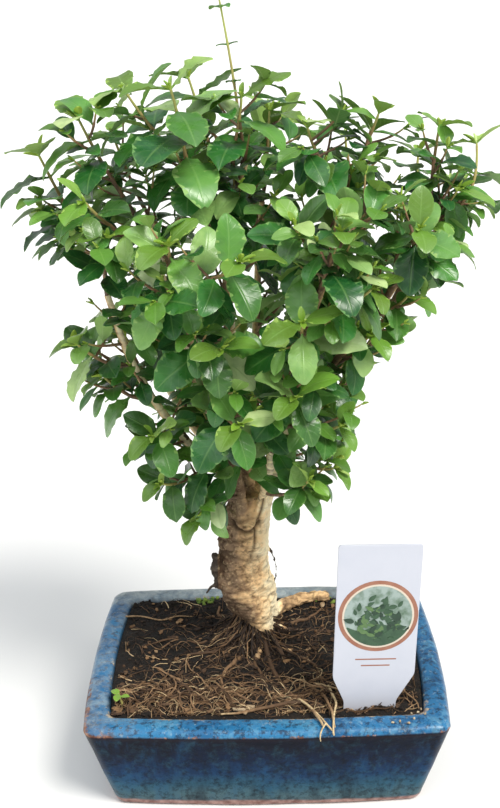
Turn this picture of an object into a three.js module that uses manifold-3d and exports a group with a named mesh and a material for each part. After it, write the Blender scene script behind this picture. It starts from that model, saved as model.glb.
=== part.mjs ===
// Privet bonsai in a glazed pot, with its soil, surface roots, leafy shoots and plant label.
// Millimetres, Z up, origin under the centre of the pot's base, the front of the pot toward -Y.

import * as THREE from 'three';
import { mergeVertices } from 'three/addons/utils/BufferGeometryUtils.js';
import Module from 'manifold-3d';

const wasm = await Module();
wasm.setup();

// Pot
const POT_LENGTH = 152.6;
const POT_DEPTH = 116;
const POT_HEIGHT = 45.4;
const POT_BOW = 2.4;
const RIM_WIDTH = 10;
const FLOOR_TOP = 7;
const DRAIN_OFFSET = 34;
const DRAIN_RADIUS = 5;
const DRAIN_SIDES = 16;
const CORNER_STEPS = 3;
const SIDE_STEPS = 3;

// Each row: height, distance inside the rim's outer edge, corner radius
const POT_OUTSIDE = [
  [0, 10.9, 5],
  [1.4, 10, 5.2],
  [42.2, 0, 5.5],
  [43.9, 0.5, 5.5],
  [POT_HEIGHT, 2.6, 5],
];
const POT_INSIDE = [
  [POT_HEIGHT, RIM_WIDTH - 0.9, 5],
  [44.6, RIM_WIDTH, 4.6],
  [8.6, 16.9, 6],
  [FLOOR_TOP, 18.5, 5],
];

// Clear space between neighbouring pieces, and the smallest detail kept where solids join
const GAP = 0.3;
const SMALLEST_DETAIL = 0.07;

// Soil
const SOIL_LEVEL = 44;
const MOUND_HEIGHT = 3.2;
const MOUND_SPREAD = 30;
const SOIL_RINGS = [1, 0.92, 0.74, 0.52, 0.3];

// Trunk: rows of x, y, z, radius
const TRUNK_X = -3;
const TRUNK_Y = 12;
const TRUNK_SIDES = 10;
const TRUNK_ROWS = [
  [-2, 12, 20, 3],
  [-2.5, 12, 36, 5],
  [-3, 12, 48, 7.2],
  [-3.5, 12, 55, 8],
  [-4.5, 12, 61, 9.9],
  [-6.3, 12, 67, 11.8],
  [-8.3, 12, 74, 12.4],
  [-9, 12, 85, 11.5],
  [-8.8, 12, 97, 11.2],
  [-7.6, 12.4, 106, 10.9],
  [-5.8, 13, 113, 9.6],
  [-5, 13, 120, 7.2],
];

// Limbs: start and end radius, then the points that each one passes through
const LIMBS = [
  [4.2, 1.5, [[-9, 12, 108], [-16, 11, 141], [-24, 7, 166], [-31, 3, 194], [-39, 2, 220], [-48, 2, 246]]],
  [4.4, 1.5, [[-6, 14, 108], [-9, 16, 149], [-12, 16, 181], [-13, 13, 214], [-9, 10, 244], [-4.5, 8, 266]]],
  [3.7, 1.5, [[-1.5, 10, 108], [8.5, 8, 142], [14, 4, 180], [20, 2, 210], [30, 2, 238], [40, 4, 260]]],
  [2.2, 1.3, [[10, 8, 146], [19, 0, 164], [29, -4, 183], [46, -8, 206], [60, -6, 228], [68, -2, 250]]],
  [3.4, 1.3, [[-9, 17, 108], [-16, 28, 143], [-28, 36, 178], [-38, 42, 208], [-46, 42, 236]]],
  [3.4, 1.3, [[-2, 17, 108], [8, 28, 146], [20, 36, 180], [32, 42, 210], [42, 42, 238]]],
  [3.2, 1.3, [[-8, 7, 108], [-12, -6, 143], [-19, -18, 174], [-26, -27, 204], [-32, -32, 232]]],
  [3, 1.3, [[-2, 7, 108], [5, -8, 148], [11, -20, 178], [19, -30, 208], [27, -34, 234]]],
  [2.6, 1.3, [[-13, 11, 124], [-28, 4, 143], [-42, -4, 166], [-53, -9, 191], [-60, -10, 217]]],
  [2.8, 1.3, [[-5, 19, 112], [-3, 34, 148], [-2, 45, 182], [0, 50, 216], [2, 48, 242]]],
  [2.2, 1.3, [[7.5, 9, 138], [29, 15, 160], [48, 19, 186], [62, 20, 214], [72, 18, 238]]],
  [2.3, 1.3, [[-14, 14, 128], [-33, 19, 154], [-49, 21, 184], [-60, 21, 214], [-71, 17, 240]]],
];
const LIMB_THINNING = 0.55;
const LIMB_SIDES = 5;
const LIMB_STATIONS = 6;
const LIMB_STEPS = 20;

// Dead stub, wiry twig and side root: start and end radius, then points
const SPURS = [
  [3, 1.9, [[-14, 8, 76.5], [-19.4, 6, 77.5], [-21.9, 5.5, 83.5], [-21.6, 5.5, 92.5]]],
  [0.9, 0.6, [[-2, 9, 98], [3, 6, 93.5], [5.4, 4.6, 86], [4.6, 5, 78]]],
  [1.2, 0.7, [[-12, 11, 77], [-19.5, 7, 74.5], [-23, 5, 77], [-26.5, 4, 73]]],
];

// Roots
const ROOT_SEED = 77;
const ROOT_COUNT = 10;
const ROOT_STEPS = 4;
const ROOT_AREA = [63, 45];
const PLACED_ROOTS = [
  [3.8, 2.6, [[-2, 17, 51.5], [4, 28, 50], [12, 36.5, 48.8], [22, 42.5, 48.2], [33, 45, 47.6]]],
  [1.4, 0.8, [
    [-1, 4, 50], [3, -14, 44.8], [9, -30, 44], [15.6, -39.5, 45.2], [20, -49, 46.9], [23.2, -58, 46.6],
  ]],
  [1.3, 0.6, [
    [3, 6, 50], [10, -12, 45], [18, -25, 44], [24.4, -35, 45.4], [27, -48, 46.9], [28, -59, 46.5],
  ]],
  [1.1, 0.6, [[15.6, -39.5, 45], [8, -41.5, 45.8], [-2, -45, 46], [-11, -47.4, 45.8], [-19, -48, 45.6]]],
];

// Seedling weed in the soil: place of its foot and the length of its leaves
const SEEDLING_PLACE = [-61.5, -38.5];
const SEEDLING_STEM = [[0, 0, -5], [0, 0, 1], [-0.5, 0, 3.8], [-1.2, -0.3, 6.8]];
const SEEDLING_LEAF = 6;
const SEEDLING_LEAVES = 3;
const SEEDLING_TURN = 2.3;
const SEEDLING_LEAN = 1.05;
const SEEDLING_RADIUS = 0.7;

// Shoots: x, y, z of each tip, then the length of its middle leaves
const SHOOT_TIPS = [
  [-50, 5, 294, 27], [-67, -6, 285, 25], [-85, 2, 271, 26], [-86, 5, 249, 19], [-56, -28, 244, 17],
  [-72, -20, 200, 21], [-43, -28, 164, 18], [-41, -22, 140, 16], [-26, -16, 122, 17], [30, -18, 144, 15],
  [31, -32, 168, 18], [43, -30, 205, 17], [58, -20, 217, 18], [71, 0, 279, 18], [78, -5, 255, 21],
  [88, 14, 271, 20], [48, 4, 284, 18], [20, -2, 280, 24], [-14, -48, 206, 23],
  [16, -50, 216, 24], [-8, -48, 176, 21], [14, -46, 186, 22], [-32, -44, 244, 22], [-31, -16, 297, 27],
  [30, -44, 248, 21], [60, -32, 246, 19], [66, -8, 240, 17], [-64, -12, 184, 19], [-64, -25, 257, 21],
  [19, -30, 144, 15], [-60, 36, 274, 22], [-28, 44, 296, 26], [6, 42, 282, 22], [38, 44, 270, 21],
  [68, 36, 264, 20], [70, 24, 242, 18], [-76, 30, 242, 18], [-57, 48, 215, 18], [-30, 60, 240, 20],
  [2, 64, 234, 20], [34, 60, 238, 20], [58, 50, 214, 19], [-58, 22, 190, 19], [-42, 46, 172, 18],
  [-8, 54, 180, 19], [32, 48, 172, 18], [44, -20, 254, 21], [-20, 40, 142, 16], [14, 38, 146, 16],
  [14, -40, 250, 22], [-6, -54, 240, 22], [42, -42, 226, 19], [-5, -4, 292, 25],
];
// What a place on a limb costs a shoot, as mm of reach: turned back, level, short or crowded
const COST_TURNED = 50;
const COST_LEVEL = 50;
const COST_SHORT = 50;
const COST_CROWDED = 4;

// The tall shoot goes on from the end of this limb, with large leaves low down and buds above
const TALL_SHOOT_TIP = [-15, 9, 338, 24];
const TALL_SHOOT_LIMB = 1;
const TALL_SHOOT_SHARES = [0.28, 0.3, 0.22, 0.24, 1];
const SHOOT_SHARES = [0.8, 1, 1.12, 1.06, 0.96];
const SHOOT_SIDES = 3;
const SHOOT_END_RADIUS = 0.55;
const STUB_LENGTH = 1.8;
const STUB_ROOM = 3.4;
const SHOOT_ROOM = 11;
const LEAST_REACH = 26;
const STEM_ATTEMPTS = 24;
const SHOOT_COLOURS = [0x4c7a3a, 0x3f6e35, 0x55833c, 0x386631, 0x61903f, 0x46753b];

// Leaves
const BLADE_THICKNESS = 0.72;
const PETIOLE_HALF_WIDTH = 0.42;
const PETIOLE_SHARE = 0.1;
const LEAF_WIDTH_SHARE = 0.53;
const LEAF_BLUNTNESS = 0.62;
const LARGE_LEAF = 25;
const FACET_WIDENING = 1.1;
const LEAF_CLEARANCE = 2.3;
const WOOD_CLEARANCE = 0.9;
const LEAF_DROOP = 0.3;
const FIRST_PAIR_LEAN = 0.74;
const LEAF_LEAN = 0.92;

// Turn round the stem, lean from it and scale to try in order where a leaf would touch something
const LEAF_VARIANTS = [
  [0, 0, 1],
  [0.45, 0, 1],
  [-0.45, 0, 1],
  [0, 0.3, 0.92],
  [0, -0.35, 0.92],
  [0.8, 0.2, 0.86],
  [-0.8, 0.2, 0.86],
  [0, 0, 0.74],
  [0.5, -0.3, 0.74],
  [-0.5, -0.3, 0.74],
];

// Plant label: outline as x, z from the middle of its stem's foot
const LABEL_OUTLINE = [
  [-5, 0], [5, 0], [10, 10], [10, 26], [17.1, 39],
  [17.1, 99.4], [-17.1, 99.4], [-17.1, 37.5], [-12, 26], [-12, 10],
];
const LABEL_THICKNESS = 0.9;
const LABEL_PLACE = [43.6, -43.2, 22];
const LABEL_ROLL = 0.035;
const LABEL_TURN = 0.06;
// Room kept free of leaves round the label: x, y, z, radius at its foot and its top
const LABEL_ROOM = [[46, -43, 50, 18.5], [46, -43, 104, 18.5]];

const UP = new THREE.Vector3(0, 0, 1);
const vector = (row) => new THREE.Vector3(row[0], row[1], row[2]);

function makeDraw(seed) {
  let state = (seed * 7919 + 12345) % 2147483647;
  return (low, high) => {
    state = (state * 16807) % 2147483647;
    return low + (high - low) * (state / 2147483647);
  };
}

// Solids from vertex rings
function solidFrom(positions, faces) {
  const geometry = new THREE.BufferGeometry();
  geometry.setAttribute('position', new THREE.Float32BufferAttribute(positions.flat(), 3));
  geometry.setIndex(faces.flat());
  return toManifold(geometry);
}

function toManifold(geometry) {
  geometry.deleteAttribute('normal');
  geometry.deleteAttribute('uv');
  const merged = mergeVertices(geometry, 1e-4);
  return new wasm.Manifold(new wasm.Mesh({
    numProp: 3,
    vertProperties: new Float32Array(merged.attributes.position.array),
    triVerts: new Uint32Array(merged.index.array),
  }));
}

function toMesh(solid, name, colour, roughness) {
  const data = solid.asOriginal().simplify(SMALLEST_DETAIL).getMesh();
  const geometry = new THREE.BufferGeometry();
  geometry.setAttribute('position', new THREE.BufferAttribute(new Float32Array(data.vertProperties), 3));
  geometry.setIndex(new THREE.BufferAttribute(new Uint32Array(data.triVerts), 1));
  geometry.computeVertexNormals();
  const material = new THREE.MeshStandardMaterial({ color: colour, roughness, metalness: 0 });
  const mesh = new THREE.Mesh(geometry, material);
  mesh.name = name;
  return mesh;
}

// Rings with equal counts, joined in order, with a fan to a middle point at each end
function loft(rings) {
  const count = rings[0].length;
  const positions = rings.flat();
  const faces = [];
  for (let i = 0; i + 1 < rings.length; i += 1) {
    for (let j = 0; j < count; j += 1) {
      const a = i * count + j;
      const b = i * count + (j + 1) % count;
      faces.push([a, b, b + count], [a, b + count, a + count]);
    }
  }
  for (const last of [false, true]) {
    const ring = last ? rings[rings.length - 1] : rings[0];
    const first = last ? (rings.length - 1) * count : 0;
    const middle = positions.length;
    positions.push([0, 1, 2].map((k) => ring.reduce((sum, point) => sum + point[k], 0) / count));
    for (let j = 0; j < count; j += 1) {
      const a = first + j;
      const b = first + (j + 1) % count;
      faces.push(last ? [middle, a, b] : [middle, b, a]);
    }
  }
  return solidFrom(positions, faces);
}

// A round bar through points, with flat ends square to its ways there
function tube(points, radii, sides, startWay, endWay, lump = () => 1) {
  const last = points.length - 1;
  const ways = points.map((point, i) => {
    const next = points[Math.min(i + 1, last)];
    return next.clone().sub(points[Math.max(i - 1, 0)]);
  });
  if (startWay) ways[0] = startWay.clone();
  if (endWay) ways[last] = endWay.clone();
  ways.forEach((way) => way.normalize());
  let side = new THREE.Vector3().crossVectors(UP, ways[0]);
  if (side.length() < 0.3) side = new THREE.Vector3(1, 0, 0);
  const positions = [];
  const faces = [];
  points.forEach((point, i) => {
    side.addScaledVector(ways[i], -side.dot(ways[i])).normalize();
    const cross = new THREE.Vector3().crossVectors(ways[i], side);
    for (let j = 0; j < sides; j += 1) {
      const angle = (j / sides) * 2 * Math.PI;
      const reach = radii[i] * lump(angle, point.z);
      const place = point.clone();
      place.addScaledVector(side, reach * Math.cos(angle)).addScaledVector(cross, reach * Math.sin(angle));
      positions.push([place.x, place.y, place.z]);
    }
  });
  for (let i = 0; i < last; i += 1) {
    for (let j = 0; j < sides; j += 1) {
      const a = i * sides + j;
      const b = i * sides + (j + 1) % sides;
      faces.push([a, b, b + sides], [a, b + sides, a + sides]);
    }
  }
  for (let j = 1; j + 1 < sides; j += 1) {
    faces.push([0, j + 1, j], [last * sides, last * sides + j, last * sides + j + 1]);
  }
  return solidFrom(positions, faces);
}

// A smooth curve through points, t from 0 to 1
function splinePoint(points, t) {
  const span = Math.min(Math.max(t, 0), 1) * (points.length - 1);
  const i = Math.min(Math.floor(span), points.length - 2);
  const u = span - i;
  const p1 = points[i];
  const p2 = points[i + 1];
  const p0 = i > 0 ? points[i - 1] : p1.clone().multiplyScalar(2).sub(p2);
  const p3 = i + 2 < points.length ? points[i + 2] : p2.clone().multiplyScalar(2).sub(p1);
  const weights = [
    0.5 * (-u + 2 * u * u - u * u * u),
    0.5 * (2 - 5 * u * u + 3 * u * u * u),
    0.5 * (u + 4 * u * u - 3 * u * u * u),
    0.5 * (-u * u + u * u * u),
  ];
  const place = new THREE.Vector3();
  [p0, p1, p2, p3].forEach((point, k) => place.addScaledVector(point, weights[k]));
  return place;
}

function splineWay(points, t) {
  const after = splinePoint(points, Math.min(t + 0.01, 1));
  const before = splinePoint(points, Math.max(t - 0.01, 0));
  return after.sub(before).normalize();
}

// Rounded rectangle with bowed sides, counter-clockwise seen from above
function potRing(height, inset, corner) {
  const halfX = POT_LENGTH / 2 - inset;
  const halfY = POT_DEPTH / 2 - inset;
  const ring = [];
  const quarter = Math.PI / 2;
  for (let k = 0; k < 4; k += 1) {
    const signX = k === 0 || k === 3 ? 1 : -1;
    const signY = k < 2 ? 1 : -1;
    for (let j = 0; j <= CORNER_STEPS; j += 1) {
      const angle = (k + j / CORNER_STEPS) * quarter;
      ring.push([
        signX * (halfX - corner) + corner * Math.cos(angle),
        signY * (halfY - corner) + corner * Math.sin(angle),
        height,
      ]);
    }
    const alongX = k % 2 === 0;
    const reach = (alongX ? halfX : halfY) - corner;
    const start = ring[ring.length - 1];
    for (let j = 1; j < SIDE_STEPS; j += 1) {
      const share = 1 - (2 * j) / SIDE_STEPS;
      const bow = POT_BOW * (1 - share * share);
      ring.push(alongX
        ? [signX * reach * share, start[1] + signY * bow, height]
        : [start[0] + signX * bow, signY * reach * share, height]);
    }
  }
  return ring;
}

function makePot() {
  const body = loft(POT_OUTSIDE.map((row) => potRing(...row)));
  const top = POT_INSIDE.slice().reverse();
  const [, inset, corner] = POT_INSIDE[0];
  const hollow = loft([...top.map((row) => potRing(...row)), potRing(POT_HEIGHT + 1, inset, corner)]);
  let pot = body.subtract(hollow);
  for (const side of [-1, 1]) {
    const drain = [-1, FLOOR_TOP + 1].map((z) => new THREE.Vector3(side * DRAIN_OFFSET, 0, z));
    pot = pot.subtract(tube(drain, [DRAIN_RADIUS, DRAIN_RADIUS], DRAIN_SIDES));
  }
  return pot;
}

// Height of the soil's surface
function soilHeight(x, y) {
  const away = Math.hypot(x - TRUNK_X, y - TRUNK_Y);
  const mound = MOUND_HEIGHT * Math.exp(-((away / MOUND_SPREAD) ** 2));
  const rough = 0.5 * Math.sin(x * 0.31 + y * 0.17) + 0.4 * Math.sin(y * 0.41 - x * 0.13);
  return SOIL_LEVEL + mound + rough;
}

function makeSoil(cutters) {
  const insetAt = (z) => {
    const [low, high] = [POT_INSIDE[2], POT_INSIDE[1]];
    return low[1] + ((z - low[0]) / (high[0] - low[0])) * (high[1] - low[1]) + GAP * 1.1;
  };
  const bottom = FLOOR_TOP + GAP;
  const rings = [
    potRing(bottom, POT_INSIDE[3][1] + GAP * 2, 5),
    potRing(POT_INSIDE[2][0] + GAP, insetAt(POT_INSIDE[2][0]) + 0.2, 6),
  ];
  const edge = potRing(0, insetAt(SOIL_LEVEL), 4.6);
  for (const share of SOIL_RINGS) {
    rings.push(edge.map(([x, y]) => {
      const px = TRUNK_X + (x - TRUNK_X) * share;
      const py = TRUNK_Y + (y - TRUNK_Y) * share;
      const height = share === 1 ? SOIL_LEVEL - 0.6 : soilHeight(px, py);
      return [px, py, height];
    }));
  }
  return cutters.reduce((soil, cutter) => soil.subtract(cutter), loft(rings));
}

// Bark: broad lumps round the trunk
const barkLump = (angle, z) => 1 + 0.05 * Math.sin(3 * angle + z / 9) + 0.035 * Math.sin(2 * angle - z / 6);

function trunkTube(grow) {
  const points = TRUNK_ROWS.map(vector);
  const radii = TRUNK_ROWS.map((row) => row[3] + grow);
  points[0].z -= grow;
  return tube(points, radii, TRUNK_SIDES, UP, UP, barkLump);
}

// Surface roots: each is a radius and the points that it passes through
function surfaceRoots() {
  const draw = makeDraw(ROOT_SEED);
  const roots = [];
  for (let k = 0; k < ROOT_COUNT; k += 1) {
    const angle = ((k + draw(-0.25, 0.25)) / ROOT_COUNT) * 2 * Math.PI;
    const bend = draw(-0.35, 0.35);
    const radius = draw(0.8, 1.4);
    const edgeX = (ROOT_AREA[0] - Math.sign(Math.cos(angle)) * TRUNK_X) / Math.abs(Math.cos(angle));
    const edgeY = (ROOT_AREA[1] - Math.sign(Math.sin(angle)) * TRUNK_Y) / Math.abs(Math.sin(angle));
    const reach = Math.min(edgeX, edgeY, 62) * draw(0.72, 0.9);
    const points = [];
    for (let j = 0; j <= ROOT_STEPS; j += 1) {
      const share = j / ROOT_STEPS;
      const away = 2 + (reach - 2) * share;
      const turn = angle + bend * share + 0.13 * Math.sin(share * 7 + k);
      const x = TRUNK_X + away * Math.cos(turn);
      const y = TRUNK_Y + away * Math.sin(turn);
      points.push([x, y, soilHeight(x, y) + 0.35 * radius + 0.6 * Math.max(0, 11 - away)]);
    }
    roots.push({ start: radius * 1.25, end: 0.6, points: points.map(vector), sides: 4 });
  }
  for (const [start, end, points] of PLACED_ROOTS) {
    roots.push({ start, end, points: points.map(vector), sides: start > 2 ? 7 : 4 });
  }
  return roots;
}

function rootTube(root, grow) {
  const last = root.points.length - 1;
  const points = root.points.map((point) => point.clone());
  const radii = points.map((point, i) => root.start + (root.end - root.start) * (i / last) + grow * 1.5);
  const way = points[last].clone().sub(points[last - 1]).normalize();
  points[last].addScaledVector(way, grow);
  return tube(points, radii, root.sides);
}

// The limbs as chains of points with radii
function growLimbs() {
  return LIMBS.map(([start, end, rows]) => {
    const points = rows.map(vector);
    const radiusAt = (t) => start + (end - start) * t ** LIMB_THINNING;
    const chain = [];
    for (let i = 0; i <= LIMB_STEPS; i += 1) {
      const t = i / LIMB_STEPS;
      chain.push({ place: splinePoint(points, t), radius: radiusAt(t) });
    }
    return { points, radiusAt, chain };
  });
}

function limbTube(limb) {
  const places = [];
  const radii = [];
  for (let i = 0; i < LIMB_STATIONS; i += 1) {
    const t = i / (LIMB_STATIONS - 1);
    places.push(splinePoint(limb.points, t));
    radii.push(limb.radiusAt(t));
  }
  return tube(places, radii, LIMB_SIDES, null, splineWay(limb.points, 1));
}

// Distance from a place to a chain of bars, less their radius
function distanceToChain(place, chain) {
  let least = Infinity;
  for (let i = 0; i + 1 < chain.length; i += 1) {
    const a = chain[i].place;
    const b = chain[i + 1].place;
    const along = b.clone().sub(a);
    const share = Math.min(Math.max(place.clone().sub(a).dot(along) / along.lengthSq(), 0), 1);
    const nearest = a.clone().addScaledVector(along, share);
    const radius = chain[i].radius + (chain[i + 1].radius - chain[i].radius) * share;
    least = Math.min(least, nearest.distanceTo(place) - radius);
  }
  return least;
}

const crowded = (place, limb, woods) => woods.some(
  (wood) => wood.owner !== limb && distanceToChain(place, wood.chain) < STUB_ROOM,
);

// Which limb each shoot grows from: first one at each limb's end, then along their sides
function chooseLimb(tips, limbs, woods) {
  const choices = new Array(tips.length).fill(null);
  choices[tips.length - 1] = { limb: TALL_SHOOT_LIMB, t: 1 };
  limbs.forEach((limb, index) => {
    if (index === TALL_SHOOT_LIMB) return;
    const end = splinePoint(limb.points, 1);
    const way = splineWay(limb.points, 1);
    let best = null;
    tips.forEach((tip, k) => {
      const reach = tip.clone().sub(end);
      const far = reach.length();
      const turned = Math.max(0, 0.8 - reach.dot(way) / far);
      const cost = far + COST_TURNED * turned + COST_SHORT * Math.max(0, 1 - far / LEAST_REACH);
      if (!choices[k] && (!best || cost < best.cost)) best = { cost, k };
    });
    choices[best.k] = { limb: index, t: 1 };
  });
  const order = tips.map((tip, k) => k).sort((a, b) => tips[a].z - tips[b].z || a - b);
  for (const k of order) {
    if (choices[k]) continue;
    let best = null;
    limbs.forEach((limb, index) => {
      for (let step = 2; step < LIMB_STEPS - 1; step += 1) {
        const t = step / LIMB_STEPS;
        const from = splinePoint(limb.points, t);
        if (crowded(from, limb, woods)) continue;
        const reach = tips[k].clone().sub(from);
        const far = reach.length();
        let cost = far + COST_TURNED * Math.max(0, 0.45 - reach.dot(splineWay(limb.points, t)) / far);
        cost += COST_LEVEL * Math.max(0, 0.15 - reach.z / far);
        cost += COST_SHORT * Math.max(0, 1 - far / LEAST_REACH);
        for (const other of choices) {
          if (!other) continue;
          const near = splinePoint(limbs[other.limb].points, other.t).distanceTo(from);
          cost += COST_CROWDED * Math.max(0, SHOOT_ROOM - near);
        }
        if (!best || cost < best.cost) best = { cost, limb: index, t };
      }
    });
    choices[k] = { limb: best.limb, t: best.t };
  }
  return choices;
}

// A stub on the limb and a stem that goes on from it, both as chains
function shapeStem(limb, t, tip, bend) {
  const from = splinePoint(limb.points, t);
  const way = splineWay(limb.points, t);
  const reach = tip.clone().sub(from);
  const far = reach.length();
  reach.normalize();
  const aside = reach.clone().addScaledVector(way, -reach.dot(way)).normalize();
  const [onward, sideways] = t === 1 ? [0.92, 0.3] : [0.6, 0.8];
  const first = way.clone().multiplyScalar(onward).addScaledVector(aside, sideways).normalize();
  const slant = Math.sqrt(1 - first.dot(way) ** 2);
  const stub = t === 1 ? STUB_LENGTH : limb.radiusAt(t) / slant + STUB_LENGTH;
  const start = from.clone().addScaledVector(first, stub + GAP);
  const outward = new THREE.Vector3(tip.x - TRUNK_X, tip.y - TRUNK_Y, 0).normalize();
  const last = reach.clone().multiplyScalar(0.75).addScaledVector(UP, 0.5).addScaledVector(outward, 0.15);
  last.normalize();
  const length = start.distanceTo(tip);
  const control = [
    start,
    start.clone().addScaledVector(first, 0.35 * length),
    tip.clone().addScaledVector(last, -0.32 * length).add(bend),
    tip,
  ];
  const startRadius = 0.7 + 0.006 * far;
  const steps = Math.min(Math.max(Math.round(length / 11), 2), 6);
  const stem = [];
  for (let i = 0; i <= steps; i += 1) {
    const u = i / steps;
    stem.push({
      place: bezierPoint(control, u),
      radius: startRadius + (SHOOT_END_RADIUS - startRadius) * u,
    });
  }
  return { from, first, stub, control, stem, length, startRadius, t };
}

function bezierPoint(control, u) {
  const v = 1 - u;
  const place = control[0].clone().multiplyScalar(v * v * v);
  place.addScaledVector(control[1], 3 * v * v * u);
  place.addScaledVector(control[2], 3 * v * u * u);
  return place.addScaledVector(control[3], u * u * u);
}

function bezierWay(control, u) {
  const v = 1 - u;
  const way = control[1].clone().sub(control[0]).multiplyScalar(v * v);
  way.addScaledVector(control[2].clone().sub(control[1]), 2 * v * u);
  return way.addScaledVector(control[3].clone().sub(control[2]), u * u).normalize();
}

// How deep a stem comes into the wood that stands before it, zero if it is clear
function stemCrossing(shape, limb, woods) {
  let worst = 0;
  for (let i = 0; i <= 16; i += 1) {
    const u = i / 16;
    const place = bezierPoint(shape.control, u);
    const radius = shape.startRadius + (SHOOT_END_RADIUS - shape.startRadius) * u;
    const fromStart = place.distanceTo(shape.from);
    for (const wood of woods) {
      const own = wood.owner === limb;
      if (own && shape.t === 1 && fromStart < shape.stub + 4) continue;
      const room = distanceToChain(place, wood.chain) - radius - (own ? GAP * 1.3 : WOOD_CLEARANCE);
      worst = Math.max(worst, -room);
    }
  }
  return worst;
}

function growStems(limbs, woods) {
  const tips = [...SHOOT_TIPS, TALL_SHOOT_TIP].map(vector);
  const choices = chooseLimb(tips, limbs, woods);
  return tips.map((tip, k) => {
    const { limb, t } = choices[k];
    const draw = makeDraw(500 + k);
    let best = null;
    for (let attempt = 0; attempt < STEM_ATTEMPTS && (!best || best.crossing > 0); attempt += 1) {
      const size = attempt * 1.6;
      const bend = new THREE.Vector3(draw(-size, size), draw(-size, size), draw(-size, size));
      const shape = shapeStem(limbs[limb], t, tip, bend);
      const crossing = stemCrossing(shape, limbs[limb], woods);
      if (!best || crossing < best.crossing) best = { ...shape, crossing };
    }
    const stubStart = { place: best.from, radius: best.startRadius };
    woods.push({ owner: best, chain: [stubStart, ...best.stem] });
    return { ...best, owner: best };
  });
}

// Half the leaf's width at a share of its length
function halfWidth(leaf, s) {
  if (s < PETIOLE_SHARE) return PETIOLE_HALF_WIDTH;
  const x = (s - PETIOLE_SHARE) / (1 - PETIOLE_SHARE);
  return 0.5 * leaf.width * Math.max(0, Math.sin(Math.PI * x ** 0.95)) ** LEAF_BLUNTNESS;
}

// A point of the blade's middle surface; c runs from -1 to 1 across the leaf
function leafPoint(leaf, s, c, widening = 1) {
  const half = Math.max(halfWidth(leaf, s) * widening, s < 1 ? PETIOLE_HALF_WIDTH : 0) * c;
  const blade = Math.min(1, s / 0.25);
  const sag = leaf.arch * leaf.length * s * s;
  const fold = leaf.fold * Math.abs(half) * blade;
  const wave = leaf.wave * leaf.width * c * Math.abs(c) * Math.sin(8 * s + leaf.phase + 1.6 * c) * blade;
  const reach = leaf.length * (s - 0.45 * leaf.arch * s * s * s);
  const place = leaf.base.clone().addScaledVector(leaf.along, reach);
  place.addScaledVector(leaf.across, half);
  return place.addScaledVector(leaf.normal, fold + wave - sag);
}

// A blade of even thickness: across rows of points from the foot to the tip, the large ones with a rib
function leafSolid(leaf) {
  const large = leaf.length >= LARGE_LEAF;
  const stations = large ? [0.22, 0.5, 0.82] : [0.28, 0.78];
  const edges = [stations.map((s) => [s, -1]), stations.map((s) => [s, 1]).reverse()];
  const outline = [[0, 0], ...edges[0], [1, 0], ...edges[1]];
  const plan = large ? [...outline, [0.36, 0], [0.62, 0]] : outline;
  const count = outline.length;
  const positions = [];
  for (const side of [1, -1]) {
    for (const [s, c] of plan) {
      const place = leafPoint(leaf, s, c, FACET_WIDENING);
      place.addScaledVector(leaf.normal, (side * BLADE_THICKNESS) / 2);
      positions.push([place.x, place.y, place.z]);
    }
  }
  const faces = [];
  for (const [a, b, c] of large ? ribbedFaces(count) : plainFaces(count)) {
    faces.push([a, b, c], [a + plan.length, c + plan.length, b + plan.length]);
  }
  for (let j = 0; j < count; j += 1) {
    const next = (j + 1) % count;
    faces.push([j, next, next + plan.length], [j, next + plan.length, j + plan.length]);
  }
  return solidFrom(positions, faces);
}

// Triangles of one face without a rib: strips between the left and the right edge
function plainFaces(count) {
  const faces = [[0, count - 1, 1]];
  for (let j = 1; j < count / 2 - 1; j += 1) {
    faces.push([j, count - j, count - j - 1], [j, count - j - 1, j + 1]);
  }
  faces.push([count / 2 - 1, count / 2 + 1, count / 2]);
  return faces;
}

// Triangles of one face with two points on its rib: one at the foot, the others to the nearer point
function ribbedFaces(count) {
  const near = (j) => (j === 1 || j === count - 1 ? count : count + 1);
  const faces = [[0, count - 1, 1]];
  for (let j = 1; j < count; j += 1) {
    const next = j === count - 1 ? 1 : j + 1;
    const [a, b] = [near(j), near(next)];
    faces.push([Math.max(a, b), next, j]);
    if (a !== b) faces.push(a < b ? [a, b, j] : [b, next, a]);
  }
  return faces;
}

// Places on a blade that must keep clear of everything else
function leafPlaces(leaf) {
  const steps = Math.max(4, Math.ceil(leaf.length / 3.2));
  const across = leaf.width > 9.5 ? [-1, -0.5, 0, 0.5, 1] : [-1, 0, 1];
  const places = [];
  for (let i = 0; i <= steps; i += 1) {
    const s = 0.2 + 0.8 * (i / steps);
    for (const c of across) {
      places.push(leafPoint(leaf, s, c, FACET_WIDENING));
    }
  }
  return places;
}

function leafIsClear(leaf, places, leaves, woods, owner) {
  const middle = leaf.base.clone().addScaledVector(leaf.along, leaf.length / 2);
  for (const other of leaves) {
    if (middle.distanceTo(other.middle) > (leaf.length + other.length) * 0.62 + LEAF_CLEARANCE) continue;
    for (const place of places) {
      if (other.places.some((point) => point.distanceToSquared(place) < LEAF_CLEARANCE ** 2)) return false;
    }
  }
  for (const wood of woods) {
    if (wood.owner === owner) continue;
    if (distanceToChain(middle, wood.chain) > leaf.length * 0.75 + WOOD_CLEARANCE) continue;
    if (places.some((place) => distanceToChain(place, wood.chain) < WOOD_CLEARANCE)) return false;
  }
  return true;
}

// A place at a share of the way along a chain of joints
function chainPoint(chain, u) {
  const span = u * (chain.length - 1);
  const i = Math.min(Math.floor(span), chain.length - 2);
  return chain[i].place.clone().lerp(chain[i + 1].place, span - i);
}

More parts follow.
